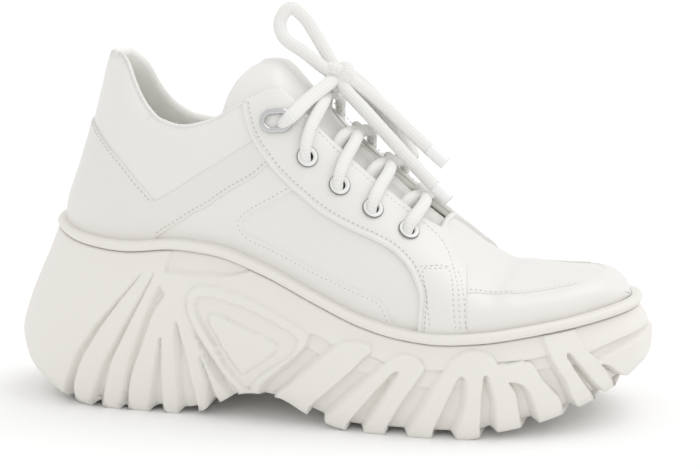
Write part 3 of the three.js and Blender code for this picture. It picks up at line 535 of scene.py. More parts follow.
bow = {
    "centre": (2.79, -0.01, 150.82),  # the knot's middle
    "width": 3.0, "thick": 0.84,  # half width of the cord, and its thickness as a share of it
    "up": (0.3, -0.8, 0.5),
    "lace_loop_standing": [
        [-0.4, -0.16, 0.2], [-0.88, -0.35, 0.5], [-2.3, -0.7, 1.65], [-3.7, -0.6, 2.6], [-4.1, -0.1, 3.6], [-3.5, 0.35, 4.5],
        [-2.6, 0.6, 3.85], [-1.6, 0.6, 2.4], [-0.62, 0.42, 0.85], [-0.25, 0.2, 0.35],
    ],
    "lace_loop_lying": [
        [0.4, 0.35, 0.1], [0.87, 0.73, -0.16], [2.3, 1.15, -1.6], [3.6, 1.3, -3.4], [4.5, 1.3, -5.1], [4.8, 1.85, -5.7],
        [4.4, 2.4, -5.1], [3.3, 2.2, -3.6], [2.0, 1.65, -2.3], [0.6, 0.82, -0.95], [0.2, 0.35, -0.45],
    ],
    "lace_end_near": [[0.1, -0.2, -0.2], [0.52, -0.58, -0.75], [2.0, -0.8, -2.2], [4.0, -0.8, -4.3], [6.0, -0.8, -6.4], [7.9, -0.9, -8.2]],
    "lace_end_far": [[0.3, 0.0, 0.1], [1.0, -0.08, -0.32], [3.0, 0.1, -1.9], [5.2, 0.35, -4.0], [7.4, 0.4, -5.9]],
}


def bowRoute(name, count):
    centre = np.array(bow["centre"])
    return smoothRoute(np.array(bow[name]) * shoe["knotRadius"] + centre, count)


aglet = {"length": 10.5, "over": 0.12}


def addBow():
    made, tips = {}, {}
    for name in ("lace_loop_standing", "lace_loop_lying", "lace_end_near", "lace_end_far"):
        route = bowRoute(name, 72)
        made[name] = sweepTube(name + "_cord", route, bow["width"], flat=bow["thick"], upHint=bow["up"])
        pathPoints = [tuple(p / 1000) for p in bowRoute(name, 24)]
        if "end" in name:
            lengths = lengthsOf(route)
            tail = route[lengths > lengths[-1] - aglet["length"]]
            tips[name] = sweepTube(name + "_tip", tail, bow["width"] + aglet["over"], flat=bow["thick"],
                                   upHint=bow["up"])
            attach(tips[name], "root")
        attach(made[name], "root")
        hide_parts(name)
    return made, tips


bowCords, agletPieces = addBow()
print("bow cords placed")

# the upper's skin: outer leather and lining meet along the topline and the throat
skin = {"bottom": -0.03, "throatFront": 0.68, "collarPuff": 1.3, "puffAt": 8.0, "puffWidth": 6.0, "lipAt": 1.7, "lipDeep": 0.5}


def evenRun(first, last, count=90):
    t = np.linspace(0, 1, count)[:, None]
    return np.array([first]) * (1 - t) + np.array([last]) * t


def toplineRun(fromS, toS, inner=False, step=1.0):
    a = np.linspace(alongOf(fromS), alongOf(toS), 260)
    s = (1 - np.cos(math.pi * a)) / 2
    run = np.stack([a, topPlace(s, inner)], 1)
    return resampled(mirrored(run) if inner else run, step)


def placeAt(s, v):
    return np.array([float(alongOf(s)), v])


def toplineRuns(fromS):
    outer, inner = toplineRun(fromS, skin["throatFront"]), toplineRun(fromS, skin["throatFront"], True)
    across = resampled(evenRun(inner[-1], outer[-1], 40), 1.0)
    return inner, across, outer[::-1]


def skinRing():
    inner, across, outer = toplineRuns(0.0)
    bottom = skin["bottom"]
    top = outer[-1][1]
    runs = [
        evenRun((0, top), (0, bottom)),
        resampled(evenRun((0, bottom), (1, bottom)), 1.6),
        evenRun((1, bottom), (1, 2 - bottom), 121),
        resampled(evenRun((1, 2 - bottom), (0, 2 - bottom)), 1.6),
        evenRun((0, 2 - bottom), (0, 2 - top)),
        inner, across, outer,
    ]
    return np.vstack([run[:-1] for run in runs]), np.vstack([inner, across, outer])


def sOf(a):
    return (1 - np.cos(math.pi * np.clip(np.abs(a), 0, 1))) / 2


# every seam is a run of [share of the length, share of the tab's height], seen from the side
seams = {
    "stayRear": [
        (0.361, 0.669), (0.375, 0.579), (0.393, 0.503), (0.416, 0.418), (0.446, 0.333), (0.478, 0.254),
        (0.512, 0.185), (0.546, 0.132), (0.583, 0.083), (0.614, 0.034), (0.635, -0.014), (0.6527, -0.07),
        (0.6667, -0.141), (0.6755, -0.22),
    ],
    "stayFront": [
        (0.7565, -0.372), (0.749, -0.21), (0.736, -0.093), (0.721, -0.044), (0.7075, 0.009), (0.691, 0.068),
    ],
    "counterTop": [(0.079, 0.564), (0.131, 0.431), (0.173, 0.296), (0.1985, 0.214)],
    "strapTop": [(0.1985, 0.214), (0.246, 0.304), (0.282, 0.38), (0.3215, 0.456), (0.367, 0.548), (0.394, 0.603)],
    "strapLow": [(0.43, 0.478), (0.386, 0.391), (0.35, 0.317), (0.314, 0.243), (0.278, 0.17), (0.242, 0.096), (0.2, 0.006)],
    "toeGuard": [
        (0.73, -0.184), (0.745, -0.188), (0.768, -0.194), (0.7985, -0.203), (0.823, -0.202), (0.847, -0.2), (0.8695, -0.195),
        (0.892, -0.188), (0.9145, -0.179),
    ],
}


def seamOn(name, way="outer"):
    points = sidePlaces(seams[name], way == "inner" or way == "round")
    if way == "round":
        points = np.stack([-points[:, 0], 2 - points[:, 1]], 1)
    return points


def stayRear(inner=False):
    top = np.array([0.351])
    first = np.array([float(alongOf(0.351)), float(topPlace(top, inner)[0])])
    last = placeAt(0.672, -0.05)
    if inner:
        first, last = mirrored([first])[0], mirrored([last])[0]
    return smoothRun(np.vstack([first, seamOn("stayRear", "inner" if inner else "outer"), last]))


def stayFront(inner=False):
    low, crest = placeAt(0.757, -0.05), placeAt(0.688, 1.0)
    if inner:
        low = mirrored([low])[0]
    return smoothRun(np.vstack([low, seamOn("stayFront", "inner" if inner else "outer"), crest]))


def stayRing():
    rear, front = stayRear(), stayFront()
    rearIn, frontIn = stayRear(True), stayFront(True)
    inner, across, outer = toplineRuns(0.351)
    runs = [
        rear, resampled(evenRun(rear[-1], front[0]), 1.5), front, frontIn[::-1],
        resampled(evenRun(frontIn[0], rearIn[-1]), 1.5), rearIn[::-1], inner, across, outer,
    ]
    return np.vstack([run[:-1] for run in runs])


def counterRing():
    def half(way, turn):
        top, strapTop, strapLow = [seamOn(n, way) for n in ("counterTop", "strapTop", "strapLow")]
        foot = np.array([turn * float(alongOf(0.197)), -0.05])
        return top, [smoothRun(strapTop), smoothRun(np.vstack([strapTop[-1:], strapLow[:1]])), smoothRun(strapLow),
                     smoothRun(np.vstack([strapLow[-1:], foot]))]
    topOut, outer = half("outer", 1)
    topIn, inner = half("round", -1)
    crown = np.array([[0.0, topOut[0][1] + 0.012]])
    over = smoothRun(np.vstack([topIn[::-1], crown, topOut]))
    bottom = resampled(evenRun(outer[-1][-1], inner[-1][-1]), 1.5)
    runs = [over] + outer + [bottom] + [run[::-1] for run in inner[::-1]]
    return np.vstack([run[:-1] for run in runs]), over, outer, inner


def toeSeam():
    outer = seamOn("toeGuard", "outer")
    inner = seamOn("toeGuard", "inner") + (0, 0.08)
    over = places([(0.9354, 0.81), (0.949, 0.92), (0.953, 1.0), (0.949, 1.1), (0.9354, 1.25)])
    return smoothRun(np.vstack([outer, over, inner[::-1]]))


def toeRing():
    seam = toeSeam()
    low, lowIn = placeAt(0.735, -0.05), placeAt(0.735, 2.05)
    runs = [
        smoothRun([seam[0], low]), resampled(evenRun(low, (1, -0.05)), 1.5), evenRun((1, -0.05), (1, 2.05), 121),
        resampled(evenRun((1, 2.05), lowIn), 1.5), smoothRun([lowIn, seam[-1]]), seam[::-1],
    ]
    return np.vstack([run[:-1] for run in runs])


edgeDepth = profile([(0, -1.2), (0.25, -0.6), (0.6, -0.25), (1.1, -0.06), (1.8, 0.0)])
liningDepth = profile([(0, -1.2), (0.25, -1.9), (0.6, -2.5), (1.1, -3.0), (1.8, -3.3), (2.6, -3.4)])
panelRise = profile([(0, -0.5), (0.1, 0.4), (0.25, 0.9), (0.6, 1.28), (1.1, 1.44), (1.8, 1.5)])

# folds pressed and stitched into the leather, seen from the side as the seams are
creases = {
    "insert": [(0.452, 0.315), (0.41, 0.245), (0.372, 0.175), (0.357, 0.135), (0.356, 0.095), (0.374, 0.045), (0.439, -0.036),
               (0.5, -0.118), (0.545, -0.17), (0.585, -0.213), (0.603, -0.24), (0.614, -0.29), (0.624, -0.36)],
    "counterFold": [(0.155, 0.11), (0.136, 0.06), (0.118, -0.02)],
}
stitches = {"pitch": 2.3, "long": 1.45, "wide": 0.5, "high": 0.38, "sink": 0.12}


def runBoth(points):
    return [smoothRun(sidePlaces(points)), smoothRun(sidePlaces(points, True))]


insertLines = runBoth(creases["insert"])
foldOuter = smoothRun(sidePlaces(creases["counterFold"]))
foldRound = sidePlaces(creases["counterFold"], True)
foldInner = smoothRun(np.stack([-foldRound[:, 0], 2 - foldRound[:, 1]], 1))

eyelets = {"places": [(0.465, 0.502), (0.52, 0.536), (0.577, 0.564), (0.637, 0.606)], "hole": 2.6, "flange": 4.9, "seat": 1.5}


def holeRing(place, radius, count=28):
    place = np.array(place)
    alongA, alongV = tangents(place[0], place[1])
    out = outward(place[0], place[1])
    first = alongA / np.linalg.norm(alongA)
    second = np.cross(out, first)
    frame = np.stack([alongA, alongV], 1)
    angle = np.linspace(0, 2 * math.pi, count, endpoint=False)
    moves = radius * (np.cos(angle)[:, None] * first + np.sin(angle)[:, None] * second)
    return place + np.linalg.lstsq(frame, moves.T, rcond=None)[0].T


eyeletPlaces = [placeAt(*spot) for spot in eyelets["places"]]
eyeletPlaces += list(mirrored(eyeletPlaces))
holeRings = [holeRing(place, eyelets["hole"] + 0.5) for place in eyeletPlaces]


def collarShare(a):
    return np.clip((0.4 - sOf(a)) / 0.06, 0, 1)


def grooved(height, base, lines, depth=0.3, width=0.55):
    for line in lines:
        height = height - depth * bump(nearestTo(base, onUpper(line)), width)
    return height


# soft wrinkles of the soft leather: [share of the length, share up the section], then depth and half width in mm
wrinkles = [
    ([(0.705, 0.86), (0.716, 0.7), (0.73, 0.52)], 0.25, 6.0),
    ([(0.757, 0.9), (0.765, 0.8), (0.78, 0.62)], 0.2, 7.0),
    ([(0.2, 0.42), (0.235, 0.36), (0.27, 0.37), (0.31, 0.44)], 0.55, 5.0),
    ([(0.1, 0.62), (0.13, 0.5), (0.17, 0.4)], 0.4, 5.0),
]
wrinkleRuns = [(smoothRun(places(points), 3.0), depth, width) for points, depth, width in wrinkles]


def wrinkled(height, base, share=1.0):
    for run, depth, width in wrinkleRuns:
        for line in (run, mirrored(run)):
            height = height - share * depth * bump(nearestTo(base, onUpper(line)), width)
    return height


def skinHeight(made, away, base):
    inward = np.clip(away / 3, 0, 1)
    sides = np.clip((np.abs(made[:, 0]) - 0.1) / 0.12, 0, 1) * collarShare(made[:, 0])
    puff = skin["collarPuff"] * bump(away - skin["puffAt"], skin["puffWidth"]) * sides
    lip = skin["lipDeep"] * bump(away - skin["lipAt"], 0.35) * collarShare(made[:, 0])
    return edgeDepth(away) - lip + inward * wrinkled(grooved(puff, base, insertLines, 0.42, 0.6), base)


def liningHeight(made, away, base):
    return liningDepth(away) - 1.6 * np.clip(away / 3, 0, 1) * bump(away - 7, 7) * collarShare(made[:, 0])


ringSkin, openEdge = skinRing()
upperSkin = patchOn("upper_skin", ringSkin, skinHeight, edge=openEdge, lines=insertLines, holes=holeRings,
                    rings=(0.25, 0.6, 1.1, 1.4, 1.7, 2.0, 2.6))
upperLining = patchOn("upper_lining", ringSkin, liningHeight, edge=openEdge, spacing=3.4, turned=True)
outerFaces = len(upperSkin.data.polygons)
only(upperSkin, upperLining)
bpy.ops.object.join()
liningFace = np.arange(len(upperSkin.data.polygons)) >= outerFaces
weld(upperSkin)
print("skin", len(upperSkin.data.polygons), "of them lining", liningFace.sum())

rear, rearIn = stayRear(), stayRear(True)
midStay = placeAt(0.6, 0.6)

# the eyestay's stitch rows, [share of the length, share up the section]
rowPlaces = {
    "archOuter": [(0.6621, 0.415), (0.667, 0.447), (0.6748, 0.463), (0.6915, 0.512),
                  (0.7036, 0.544), (0.7135, 0.55)],
    "archInner": [(0.6908, 0.03), (0.6839, 0.255), (0.6713, 0.42), (0.675, 0.45), (0.6878, 0.479), (0.7059, 0.531),
                  (0.7133, 0.517), (0.7217, 0.427), (0.729, 0.24), (0.7339, 0.016)],
    "throat": [(0.446, 0.645), (0.464, 0.656), (0.489, 0.677), (0.517, 0.69), (0.545, 0.695), (0.571, 0.695), (0.592, 0.699),
               (0.62, 0.715), (0.656, 0.73), (0.684, 0.72), (0.7013, 0.668), (0.7148, 0.582), (0.7239, 0.506), (0.7323, 0.408),
               (0.739, 0.2), (0.742, 0.011)],
    "third": [(0.72, 0.585), (0.7289, 0.547), (0.738, 0.44), (0.7445, 0.338), (0.7485, 0.18), (0.7502, 0.004)],
}


def stayRow(name, inner):
    run = places(rowPlaces[name])
    return smoothRun(mirrored(run) if inner else run)


stayRows = []
for innerSide in (False, True):
    middle = mirrored([midStay])[0] if innerSide else midStay
    stayRows.append(shifted(rearIn if innerSide else rear, 1.9, middle))
    stayRows += [stayRow(name, innerSide) for name in rowPlaces]


def stayHeight(made, away, base):
    return grooved(panelRise(away), base, stayRows, 0.16, 0.45)


eyestay = patchOn("eyestay", stayRing(), stayHeight, holes=holeRings, spacing=1.9, rings=(0.1, 0.25, 0.6, 1.1, 1.8, 2.6))
ringCounter, counterOver, counterOut, counterIn = counterRing()
heelRows = []
for runs, sign in ((counterOut, 1), (counterIn, -1)):
    low = np.array([sign * float(alongOf(0.25)), 0.25])
    heelRows.append(shifted(runs[2], 2.0, low))
rowOver = shifted(counterOver, 2.0, np.array([0.0, 0.2]))


counterRise = profile([(0, -0.8), (0.1, 0.1), (0.25, 0.45), (0.6, 0.68), (1.1, 0.78), (1.8, 0.82)])


def counterHeight(made, away, base):
    height = wrinkled(grooved(counterRise(away), base, heelRows + [rowOver], 0.16, 0.45), base)
    return grooved(height, base, [foldOuter, foldInner], 0.35, 0.7)


heelCounter = patchOn("heel_counter_panel", ringCounter, counterHeight, rings=(0.1, 0.25, 0.6, 1.1, 1.8, 2.6))
toeRise = profile([(0, -0.2), (0.1, 0.1), (0.25, 0.25), (0.6, 0.4), (1.1, 0.5), (2.6, 0.65), (8, 1.1)])


def toeHeight(made, away, base):
    return np.minimum(toeRise(away), 0.2 + 1.2 * np.clip((0.85 - made[:, 0]) / 0.07, 0, 1))


toeLine = toeSeam()
toeGuard = patchOn("toe_guard_panel", toeRing(), toeHeight, edge=toeLine, rings=(0.1, 0.25, 0.6, 1.1, 1.8, 2.6))
weld(toeGuard)
print("panels placed")

# the sole: one skin lofted round the foot, raised and cut by outlines seen from its side
soleShapes = {
    "block": [
        [(-0.05, 1.2), (0.285, 1.2), (0.281, 0.95), (0.27, 0.85), (0.25, 0.7), (0.229, 0.52), (0.209, 0.3),
         (0.192, 0.04), (0.192, -0.1), (-0.05, -0.1)],
        [(0.267, 0.705), (0.247, 0.592), (0.23, 0.409), (0.21, 0.213), (0.202, 0.056), (0.2, -0.145), (0.381, -0.086),
         (0.374, 0.113), (0.353, 0.225), (0.336, 0.337), (0.32, 0.474), (0.31, 0.554), (0.3, 0.674), (0.295, 0.717),
         (0.288, 0.737), (0.278, 0.738), (0.272, 0.724)],
        [(0.237, 1.015), (0.244, 0.863), (0.248, 0.782), (0.262, 0.709), (0.28, 0.65), (0.296, 0.679), (0.311, 0.601), (0.328, 0.5),
         (0.346, 0.406), (0.366, 0.312), (0.386, 0.224), (0.406, 0.183), (0.422, 0.224), (0.444, 0.302), (0.469, 0.381), (0.489, 0.447),
         (0.502, 0.548), (0.541, 0.48),
         (0.606, 0.43), (0.62, 0.41), (0.68, 0.385), (0.712, 0.385), (0.787, 0.44), (0.846, 0.45), (0.873, 0.48),
         (0.914, 0.455), (0.962, 0.515), (1.06, 0.58), (1.06, 1.2)],
    ],
    "slot": [
        [(0.233, 0.83), (0.192, 0.645), (0.158, 0.47), (0.127, 0.28), (0.11, 0.1), (0.11, -0.1), (0.095, -0.1),
         (0.097, 0.1), (0.12, 0.31), (0.154, 0.5)],
        [(0.25, 0.83), (0.209, 0.52), (0.178, 0.29), (0.158, 0.03), (0.158, -0.1), (0.143, -0.1), (0.144, 0.05),
         (0.162, 0.24), (0.196, 0.48)],
        [(0.26, 0.47), (0.24, 0.06), (0.24, -0.1), (0.26, -0.1)],
        [(0.284, 0.57), (0.288, 0.08), (0.288, -0.1), (0.317, -0.1), (0.317, 0.07), (0.298, 0.38)],
        [(0.322, 0.38), (0.335, 0.18), (0.335, -0.1), (0.352, -0.1), (0.352, 0.08)],
        [(0.277, 1.028), (0.273, 0.926), (0.264, 0.825), (0.287, 0.83), (0.32, 0.83), (0.345, 0.83), (0.366, 0.834),
         (0.383, 0.845), (0.401, 0.865), (0.422, 0.899), (0.422, 1.076)],
    ],
    "heart": [
        [(0.34, 0.587), (0.341, 0.614), (0.346, 0.625), (0.359, 0.617), (0.386, 0.573), (0.419, 0.525), (0.449, 0.487),
         (0.454, 0.459), (0.45, 0.423), (0.419, 0.341), (0.404, 0.295), (0.397, 0.269), (0.386, 0.312), (0.363, 0.429),
         (0.343, 0.547)],
    ],
    "frame": [
        [(0.383, 0.134), (0.386, 0.176), (0.369, 0.236), (0.353, 0.319), (0.336, 0.408), (0.32, 0.498), (0.306, 0.588),
         (0.303, 0.676), (0.306, 0.727), (0.315, 0.759), (0.33, 0.776), (0.345, 0.773), (0.369, 0.757), (0.402, 0.72),
         (0.436, 0.668), (0.469, 0.607), (0.495, 0.562), (0.503, 0.529), (0.5, 0.486), (0.492, 0.436), (0.469, 0.364),
         (0.444, 0.284), (0.426, 0.219), (0.422, 0.147)],
    ],
    "frameInside": [
        [(0.318, 0.651), (0.321, 0.688), (0.328, 0.705), (0.34, 0.705), (0.386, 0.673), (0.419, 0.631), (0.452, 0.577),
         (0.479, 0.527), (0.484, 0.499), (0.479, 0.444), (0.469, 0.405), (0.436, 0.317), (0.419, 0.27), (0.411, 0.226),
         (0.404, 0.182), (0.393, 0.214), (0.386, 0.247), (0.369, 0.325), (0.353, 0.426), (0.333, 0.549)],
    ],
    "step": [
        [(0.48, 0.62), (0.494, 0.455), (0.52, 0.405), (0.57, 0.34), (0.6, 0.33), (0.682, 0.27), (0.712, 0.28),
         (0.787, 0.36), (0.856, 0.38), (0.89, 0.4), (0.925, 0.39), (0.962, 0.46), (1.06, 0.55), (1.06, 0.8), (0.6, 0.6)],
        [(0.25, 1.2), (0.25, 0.7), (0.45, 0.7), (0.45, 1.2)],
    ],
    "lug": [
        [(0.541, 0.485), (0.558, 0.525), (0.589, 0.525), (0.606, 0.49), (0.568, 0.34), (0.5, 0.1), (0.5, -0.1),
         (0.442, -0.1), (0.442, 0.165), (0.49, 0.31)],
        [(0.623, 0.42), (0.64, 0.47), (0.661, 0.475), (0.682, 0.435), (0.683, 0.38), (0.651, 0.2), (0.623, 0.02),
         (0.623, -0.1), (0.586, -0.1), (0.586, 0.01), (0.613, 0.17), (0.645, 0.37), (0.637, 0.37), (0.603, 0.22),
         (0.562, 0.03), (0.562, -0.1), (0.524, -0.1), (0.524, 0.05), (0.568, 0.22)],
        [(0.705, 0.35), (0.722, 0.46), (0.743, 0.51), (0.77, 0.51), (0.786, 0.48), (0.798, 0.39), (0.82, 0.27),
         (0.825, 0.12), (0.825, -0.1), (0.786, -0.1), (0.789, 0.19), (0.777, 0.37), (0.772, 0.37), (0.765, -0.1),
         (0.728, -0.1), (0.728, 0.02), (0.745, 0.2), (0.746, 0.33), (0.739, 0.37), (0.733, 0.34), (0.712, 0.16),
         (0.695, 0.02), (0.695, -0.1), (0.654, -0.1), (0.654, 0), (0.685, 0.21)],
        [(0.77, 0.425), (0.791, 0.43), (0.832, 0.445), (0.842, 0.43), (0.859, 0.322), (0.883, 0.212), (0.883, -0.1),
         (0.847, -0.1), (0.845, 0.172), (0.833, 0.292), (0.819, 0.332), (0.795, 0.332)],
        [(0.847, 0.6), (0.842, 0.75), (0.88, 0.75), (0.888, 0.65), (0.912, 0.5), (0.936, 0.4), (0.951, 0.29), (0.951, -0.1),
         (0.936, -0.1), (0.936, 0.22), (0.912, 0.37), (0.89, 0.478), (0.887, 0.468), (0.907, 0.34), (0.925, 0.21),
         (0.925, -0.1), (0.899, -0.1), (0.899, 0.17), (0.886, 0.32), (0.863, 0.46)],
        [(0.925, 0.4), (0.962, 0.46), (1.06, 0.6), (1.06, -0.1), (0.97, -0.1), (0.965, 0.28), (0.945, 0.38)],
    ],
}


def rimHalf(s, side):
    half = shoe["ballWidth"] * np.where(side < 0, halfOuter(s), halfInner(s)) + shoe["rimLedge"]
    return half * endRound(s, 0.15, 0.31)


def groundHeight(x):
    u = (x - soleBack) / shoe["soleLength"]
    return shoe["archHeight"] * groundArch(u) + shoe["toeLift"] * groundLift(u)


def solePoint(t, s, side, proud, lift, share=1.0):
    down = 1 - t
    back = upperHeel - shoe["rimLedge"] - shoe["heelFlare"] * sideHeel(down) + shoe["heelRocker"] * sideRoll(down) - proud
    front = (upperHeel + shoe["upperLength"] + shoe["rimLedge"] + shoe["toeFlare"] * sideToe(down)
             - shoe["toeRocker"] * sideRoll(down) + proud)
    x = back + (front - back) * s
    rounding = endRound(s, 0.15, 0.31)
    half = rimHalf(s, side) + (shoe["sideFlare"] * sideOut(down) + proud) * np.minimum(1, 3 * rounding)
    low = groundHeight(x) + lift
    high = seatHeight(x) - shoe["rimHeight"] - 2 * shoe["gap"]
    y = shoe["ballWidth"] * middleLine(s) + side * np.maximum(0, half) * share
    return np.stack([x, y, low + (high - low) * t], -1)


def rounded(ring, times=3):
    for _ in range(times):
        after = np.roll(ring, -1, 0)
        length = np.linalg.norm(after - ring, axis=1, keepdims=True)
        cut = np.minimum(0.25, 1.6 / np.maximum(length, 1e-6))
        ring = np.stack([ring + cut * (after - ring), after - cut * (after - ring)], 1).reshape(-1, 2)
    return ring


def signedDepth(xz, outline):
    ring = rounded(np.array(outline, float) * (shoe["soleLength"], heelSeat) + (soleBack, 0))
    nearest = np.full(len(xz), 1e9)
    for p, q in zip(ring, np.roll(ring, -1, 0)):
        edge = q - p
        t = np.clip(((xz - p) @ edge) / edge.dot(edge), 0, 1)
        nearest = np.minimum(nearest, np.linalg.norm(xz - p - t[:, None] * edge, axis=1))
    return np.where(insideOf(xz, ring), nearest, -nearest)


def softStep(depth, low=-0.75, high=0.45):
    t = np.clip((depth - low) / (high - low), 0, 1)
    return t * t * (3 - 2 * t)


def soleRelief(x, z):
    xz = np.stack([x.ravel(), z.ravel()], 1)
    depth = {name: np.max([signedDepth(xz, outline) for outline in shapes], 0) for name, shapes in soleShapes.items()}
    depth["lug"] = np.maximum.reduce([depth["lug"], depth["heart"], np.minimum(depth["frame"], -depth["frameInside"])])
    block = softStep(np.minimum(depth["block"], -depth["slot"]))
    step, lug = softStep(depth["step"]), softStep(depth["lug"])
    rib, stepUp, lugUp = shoe["ribRaise"], shoe["stepRaise"], shoe["lugRaise"]
    raised = np.maximum.reduce([(rib - stepUp) * step, rib * block, (rib + lugUp) * lug]) - rib
    standing = np.maximum(np.minimum(depth["block"], -depth["slot"]), depth["lug"])
    arch = softStep(22 - np.abs(xz[:, 0] + 24), 0, 8)  # the arch has no tread
    lift = shoe["treadDepth"] * (1 - np.maximum(softStep(standing, -0.9, 0.8), arch))
    return raised.reshape(x.shape), lift.reshape(x.shape)


soleMesh = {"stations": 520, "levels": 68, "under": 10}


def addOutsole(settings):
    a = np.linspace(0, 1, settings["stations"])
    s = (1 - np.cos(math.pi * a)) / 2
    t = np.linspace(1, 0, settings["levels"])
    share = np.linspace(1, 0, settings["under"] + 1)[1:]
    levels = np.concatenate([t, np.zeros(len(share))])
    shares = np.concatenate([np.ones(len(t)), share])
    columns = []
    for side in (-1, 1):
        grid = solePoint(levels[None], s[:, None], side, 0.0, 0.0, shares[None])
        raised, lift = soleRelief(grid[..., 0], grid[..., 2])
        columns.append(solePoint(levels[None], s[:, None], side, raised, lift, shares[None]))
    outer, inner = columns
    loop = np.concatenate([outer, inner[:, -2::-1]], 1) + middleShift
    count = loop.shape[1]
    index = np.arange(loop.shape[0] * count).reshape(loop.shape[:2])
    first, second = index[:-1], index[1:]
    faces = np.stack([first, np.roll(first, -1, 1), np.roll(second, -1, 1), second], -1).reshape(-1, 4)
    piece = newObject("outsole_skin", loop.reshape(-1, 3), faces[:, ::-1])
    return weld(piece)


outsole = addOutsole(soleMesh)
print("outsole", len(outsole.data.polygons))

rim = {"stations": 300, "levels": 22, "groove": 0.12, "heelTrim": 1.5}


def addRim(settings):
    a = np.linspace(0, 1, settings["stations"])
    s = ((1 - np.cos(math.pi * a)) / 2)[:, None]
    t = np.linspace(0, 1, settings["levels"])[None]
    bulge = shoe["rimBulge"] * np.sin(math.pi * t) ** 0.55
    bulge = bulge - settings["groove"] * bump(t - 0.3, 0.035) - settings["groove"] * 0.7 * bump(t - 0.72, 0.03)
    back = upperHeel - shoe["rimLedge"] + settings["heelTrim"]
    length = shoe["upperLength"] + 2 * shoe["rimLedge"] - settings["heelTrim"]
    columns = []
    for side in (-1, 1):
        x = back - bulge + (length + 2 * bulge) * s
        half = rimHalf(s, side) + bulge * np.minimum(1, 4 * endRound(s, 0.15, 0.31))
        z = seatHeight(x) - shoe["rimHeight"] * (1 - t)
        columns.append(np.stack([x, shoe["ballWidth"] * middleLine(s) + side * np.maximum(0, half), z + 0 * half], -1))
    loop = np.concatenate([columns[0], columns[1][:, ::-1]], 1) + middleShift
    count = loop.shape[1]
    index = np.arange(loop.shape[0] * count).reshape(loop.shape[:2])
    first, second = index[:-1], index[1:]
    faces = np.stack([first, np.roll(first, -1, 1), np.roll(second, -1, 1), second], -1).reshape(-1, 4)
    piece = newObject("midsole_rim", loop.reshape(-1, 3), faces)
    return weld(piece)


midsole = addRim(rim)
print("rim", len(midsole.data.polygons))

# tongue and insole
tongueShape = {
    "halves": [(0.24, 0.31), (0.4, 0.31), (0.5, 0.27), (0.6, 0.245), (0.715, 0.22)],
    "top": [(0.282, 0.36), (0.312, 0.68), (0.32, 0.775), (0.331, 0.845), (0.35, 0.91), (0.38, 0.96), (0.4, 0.99), (0.43, 1.2)],
    "under": 4.0, "thick": 4.5, "puff": 1.3, "front": 0.715,
}


def tongueRing(shape):
    half = smoothColumn(shape["halves"], 1)
    top = np.array(shape["top"])

    def edgeRun(side):
        s = np.linspace(shape["front"], 0.26, 120)
        low, high = np.full_like(s, 0.1), np.ones_like(s)
        for _ in range(24):
            v = (low + high) / 2
            point = lastPoint(s, v, side, -shape["under"]) - middleShift
            wide = np.abs(point[:, 1] - shoe["ballWidth"] * middleLine(s)) > shoe["ballWidth"] * half(s)
            low, high = np.where(wide, v, low), np.where(wide, high, v)
        return s, low

    def crossS(v, side):
        low, high = np.full_like(v, 0.15), np.full_like(v, 0.62)
        for _ in range(26):
            s = (low + high) / 2
            point = lastPoint(s, v, side, -shape["under"]) - middleShift
            share = (point[:, 0] - upperHeel) / shoe["upperLength"]
            height = (point[:, 2] - heelSeat) / shoe["tabHeight"]
            before = share < np.interp(height, top[:, 1], top[:, 0])
            low, high = np.where(before, s, low), np.where(before, high, s)
        return low

    runs = []
    for side in (-1, 1):
        s, v = edgeRun(side)
        start = crossS(v, side)
        keep = s > start + 0.004
        edge = np.stack([alongOf(s[keep]), v[keep]], 1)
        rise = np.linspace(v[keep][-1], 1, 60)
        over = np.stack([alongOf(crossS(rise, side)), rise], 1)
        run = np.vstack([edge, over[1:]])
        runs.append(resampled(run if side < 0 else mirrored(run), 1.0))
    front = resampled(evenRun(runs[1][0], runs[0][0]), 1.0)
    return np.vstack([runs[0][:-1], runs[1][::-1][:-1], front[:-1]])


def addTongue(shape):
    ring = tongueRing(shape)
    inset, thick = shape["under"], shape["thick"]
    top = profile([(0, -inset - 2.2), (0.3, -inset - 1.2), (0.7, -inset - 0.6), (1.3, -inset - 0.15), (2.2, -inset)])
    low = profile([(0, -inset - 2.2), (0.3, -inset - 3.1), (0.7, -inset - 3.7), (1.3, -inset - 4.2),
                   (2.2, -inset - thick)])

    def topHeight(made, away, base):
        showing = np.clip((0.44 - sOf(made[:, 0])) / 0.08, 0, 1)
        full = np.clip((away - 2.5) / 12, 0, 1)
        roll = -0.35 * bump(away - 4.2, 0.9)
        return top(away) + shape["puff"] * showing * full * (2 - full) + roll * showing

    upside = patchOn("tongue_pad", ring, topHeight, spacing=2.4)
    under = patchOn("tongue_under", ring, lambda made, away, base: low(away), spacing=4.0, turned=True)
    only(upside, under)
    bpy.ops.object.join()
    return weld(upside)


tongue = addTongue(tongueShape)
print("tongue", len(tongue.data.polygons))

insoleShape = {"inset": 2.95, "low": 0.7, "high": 4.4, "dish": 0.7, "stations": 150, "across": 26}


